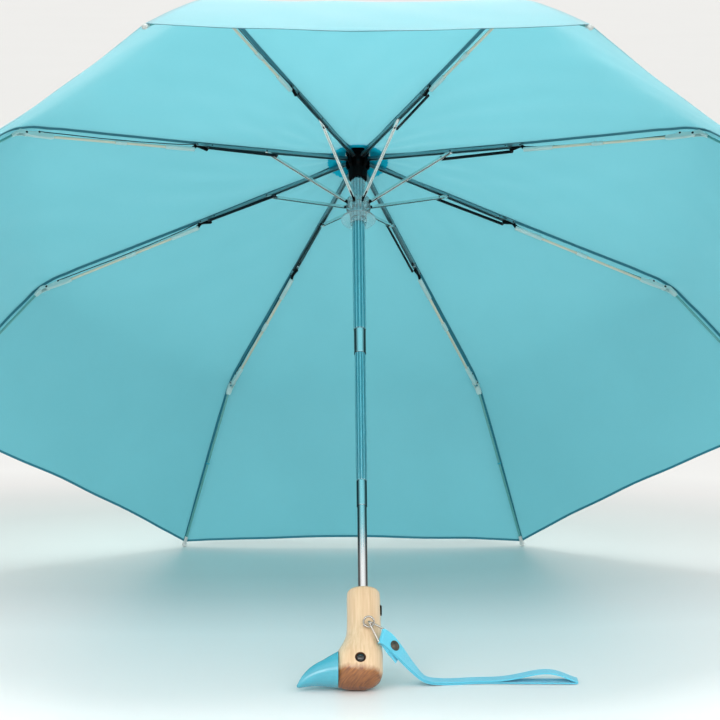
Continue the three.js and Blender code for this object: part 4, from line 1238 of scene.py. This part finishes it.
def strap():
    """A loop of webbing: along the lower strand, round the far end, back along the upper, round the bar.
    Its short end is folded back under the lower strand."""
    line, bar_direction, bar_middle, leaving = strap_route()
    count = len(line)
    lower, upper = [], []
    for i, at in enumerate(line):
        share = i / (count - 1)
        along = (line[min(i + 1, count - 1)] - line[max(i - 1, 0)]).normalized()
        across = bar_direction.lerp(Vector((0, 1, 0)), min(1, share * 3.4))
        across = (across - along * across.dot(along)).normalized()
        up = along.cross(across)
        if up.z < 0 and share > 0.3:
            up, across = -up, -across
        opened = math.sin(math.pi * min(1, max(0, (share - 0.58) / 0.42)) ** 1.7) ** 1.3
        lower.append((at - up * STRAND_GAP, across))
        upper.append((at + up * (STRAND_GAP + LOOP_HEIGHT * opened), across))
    reach = 1.25
    if (lower[0][0] - bar_middle).dot(leaving) < reach:
        lower, upper = lower[2:], upper[2:]
    tip_low, tip_high = lower[-1][0], upper[-1][0]
    middle = (tip_low + tip_high) / 2
    half = (tip_high - tip_low) / 2
    out = Vector((1, 0, 0))
    end_turn = [
        (middle - half * math.cos(a) + out * (half.length * 1.2 * math.sin(a)), lower[-1][1])
        for a in (math.pi * j / 9 for j in range(1, 9))
    ]
    side = (upper[0][0] - lower[0][0]).normalized()
    around = 1.5
    start_turn = [
        (bar_middle + (side * math.cos(a) - leaving * math.sin(a)) * around, bar_direction)
        for a in (math.pi * j / 10 for j in range(-1, 12))
    ]
    path = [*lower, *end_turn, *upper[::-1], *start_turn]
    loop, length = webbing_piece("webbing_loop", path, True, ["wrist_strap"])
    tab = []
    for i in range(1, 14):
        at, across = lower[i]
        below = (at - upper[i][0]).normalized()
        side = across if across.x + across.z < 0 else -across
        share = i / 13
        tab.append((at + below * (1.3 + 1.6 * share**3) + side * 2.6 * min(1, 2 * share), across))
    end, length = webbing_piece("webbing_end", tab, False)
    return upper


def snap(upper):
    """A domed metal snap on the strap's face near the ring."""
    i = 6
    at, across = upper[i]
    along = (upper[i + 1][0] - upper[i - 1][0]).normalized()
    across = (across - along * across.dot(along)).normalized()
    up = along.cross(across)
    face = Matrix((along, across, up)).transposed().to_4x4()
    place = Matrix.Translation(at * MM) @ face
    profile = [(0, 0.5), (4.7, 0.5), (4.8, 0.8), (4.6, 1.25), (4.0, 1.45), (3.6, 1.2), (3.1, 1.2)]
    profile += [(2.5, 1.65), (1.3, 1.9), (0, 1.95)]
    piece("snap_cap", *lathe(profile), "antique", "wrist_strap", "spring_steel", place)


snap(strap())

# ---- Studio ----


def studio():
    reach = 150
    corners = [(-reach, -reach, 0), (reach, -reach, 0), (reach, reach, 0), (-reach, reach, 0)]
    mesh = bpy.data.meshes.new("floor")
    mesh.from_pydata(corners, [], [[0, 1, 2, 3]])
    n = Nodes("floor_painted_shadow")
    cloud = n.noise(1.5, 3)
    # Painted shadow: a soft patch behind and under the umbrella, teal in its middle where the canopy's light
    # falls and grey further out. It fades to the even pale floor.
    where = n.add(
        "ShaderNodeMapping",
        {"Vector": n.coords(), "Location": (-0.08, 0.37, 0), "Scale": (0.9, 0.42, 1)},
        vector_type="TEXTURE",
    )
    away = n.add("ShaderNodeVectorMath", {0: where}, operation="LENGTH")
    painted_shadow_stops = [(0.20, 0.51, 0.63), (0.42, 0.49, 0.57), (0.62, 0.58, 0.61), (0.80, 0.72, 0.71),
             (1.0, 0.82, 0.81)]
    floor_and_painted_shadow = n.ramp(away.outputs["Value"], *[(at, (red, rest, rest * 0.985)) for at, red, rest in painted_shadow_stops])
    floor_and_painted_shadow = n.mix(n.spread(cloud, 0, 0.08), floor_and_painted_shadow.outputs[0], (0.70, 0.71, 0.69))
    n.surface(Base_Color=floor_and_painted_shadow, Roughness=n.spread(cloud, 0.34, 0.40), Specular_IOR_Level=0.4)
    mesh.materials.append(n.material)
    shown(bpy.data.objects.new("floor", mesh))


def light(name, at, aim, size, power, spread=180):
    data = bpy.data.lights.new(name, "AREA")
    data.shape = "RECTANGLE"
    data.size, data.size_y = size
    data.energy, data.spread = power, math.radians(spread)
    lamp = shown(bpy.data.objects.new(name, data))
    lamp.location, lamp.visible_camera = at, False
    lamp.rotation_mode = "QUATERNION"
    lamp.rotation_quaternion = (Vector(aim) - Vector(at)).to_track_quat("-Z", "Y")


def lights():
    world = bpy.data.worlds.new("studio")
    world.use_nodes = True
    background = world.node_tree.nodes["Background"]
    background.inputs["Color"].default_value = (1.0, 1.0, 0.985, 1)
    background.inputs["Strength"].default_value = 1.0
    bpy.context.scene.world = world
    light("key", (-1.9, -3.0, 2.2), (0, 0, 0.3), (1.6, 1.6), 24)
    light("fill", (2.6, -2.6, 1.9), (0, 0, 0.3), (2.0, 2.0), 16)
    light("top", (0.05, -0.15, 1.9), (0, -0.05, 0.4), (0.7, 0.6), 2.2, 46)
    light("strip", (0.45, -2.9, 1.0), (0, 0, 0.15), (0.22, 1.1), 6)
    light("front", (0, -1.0, 0.55), (0, -0.42, 0), (1.3, 0.3), 0.7, 80)
    bpy.context.scene.view_settings.view_transform = "Standard"


studio()
lights()
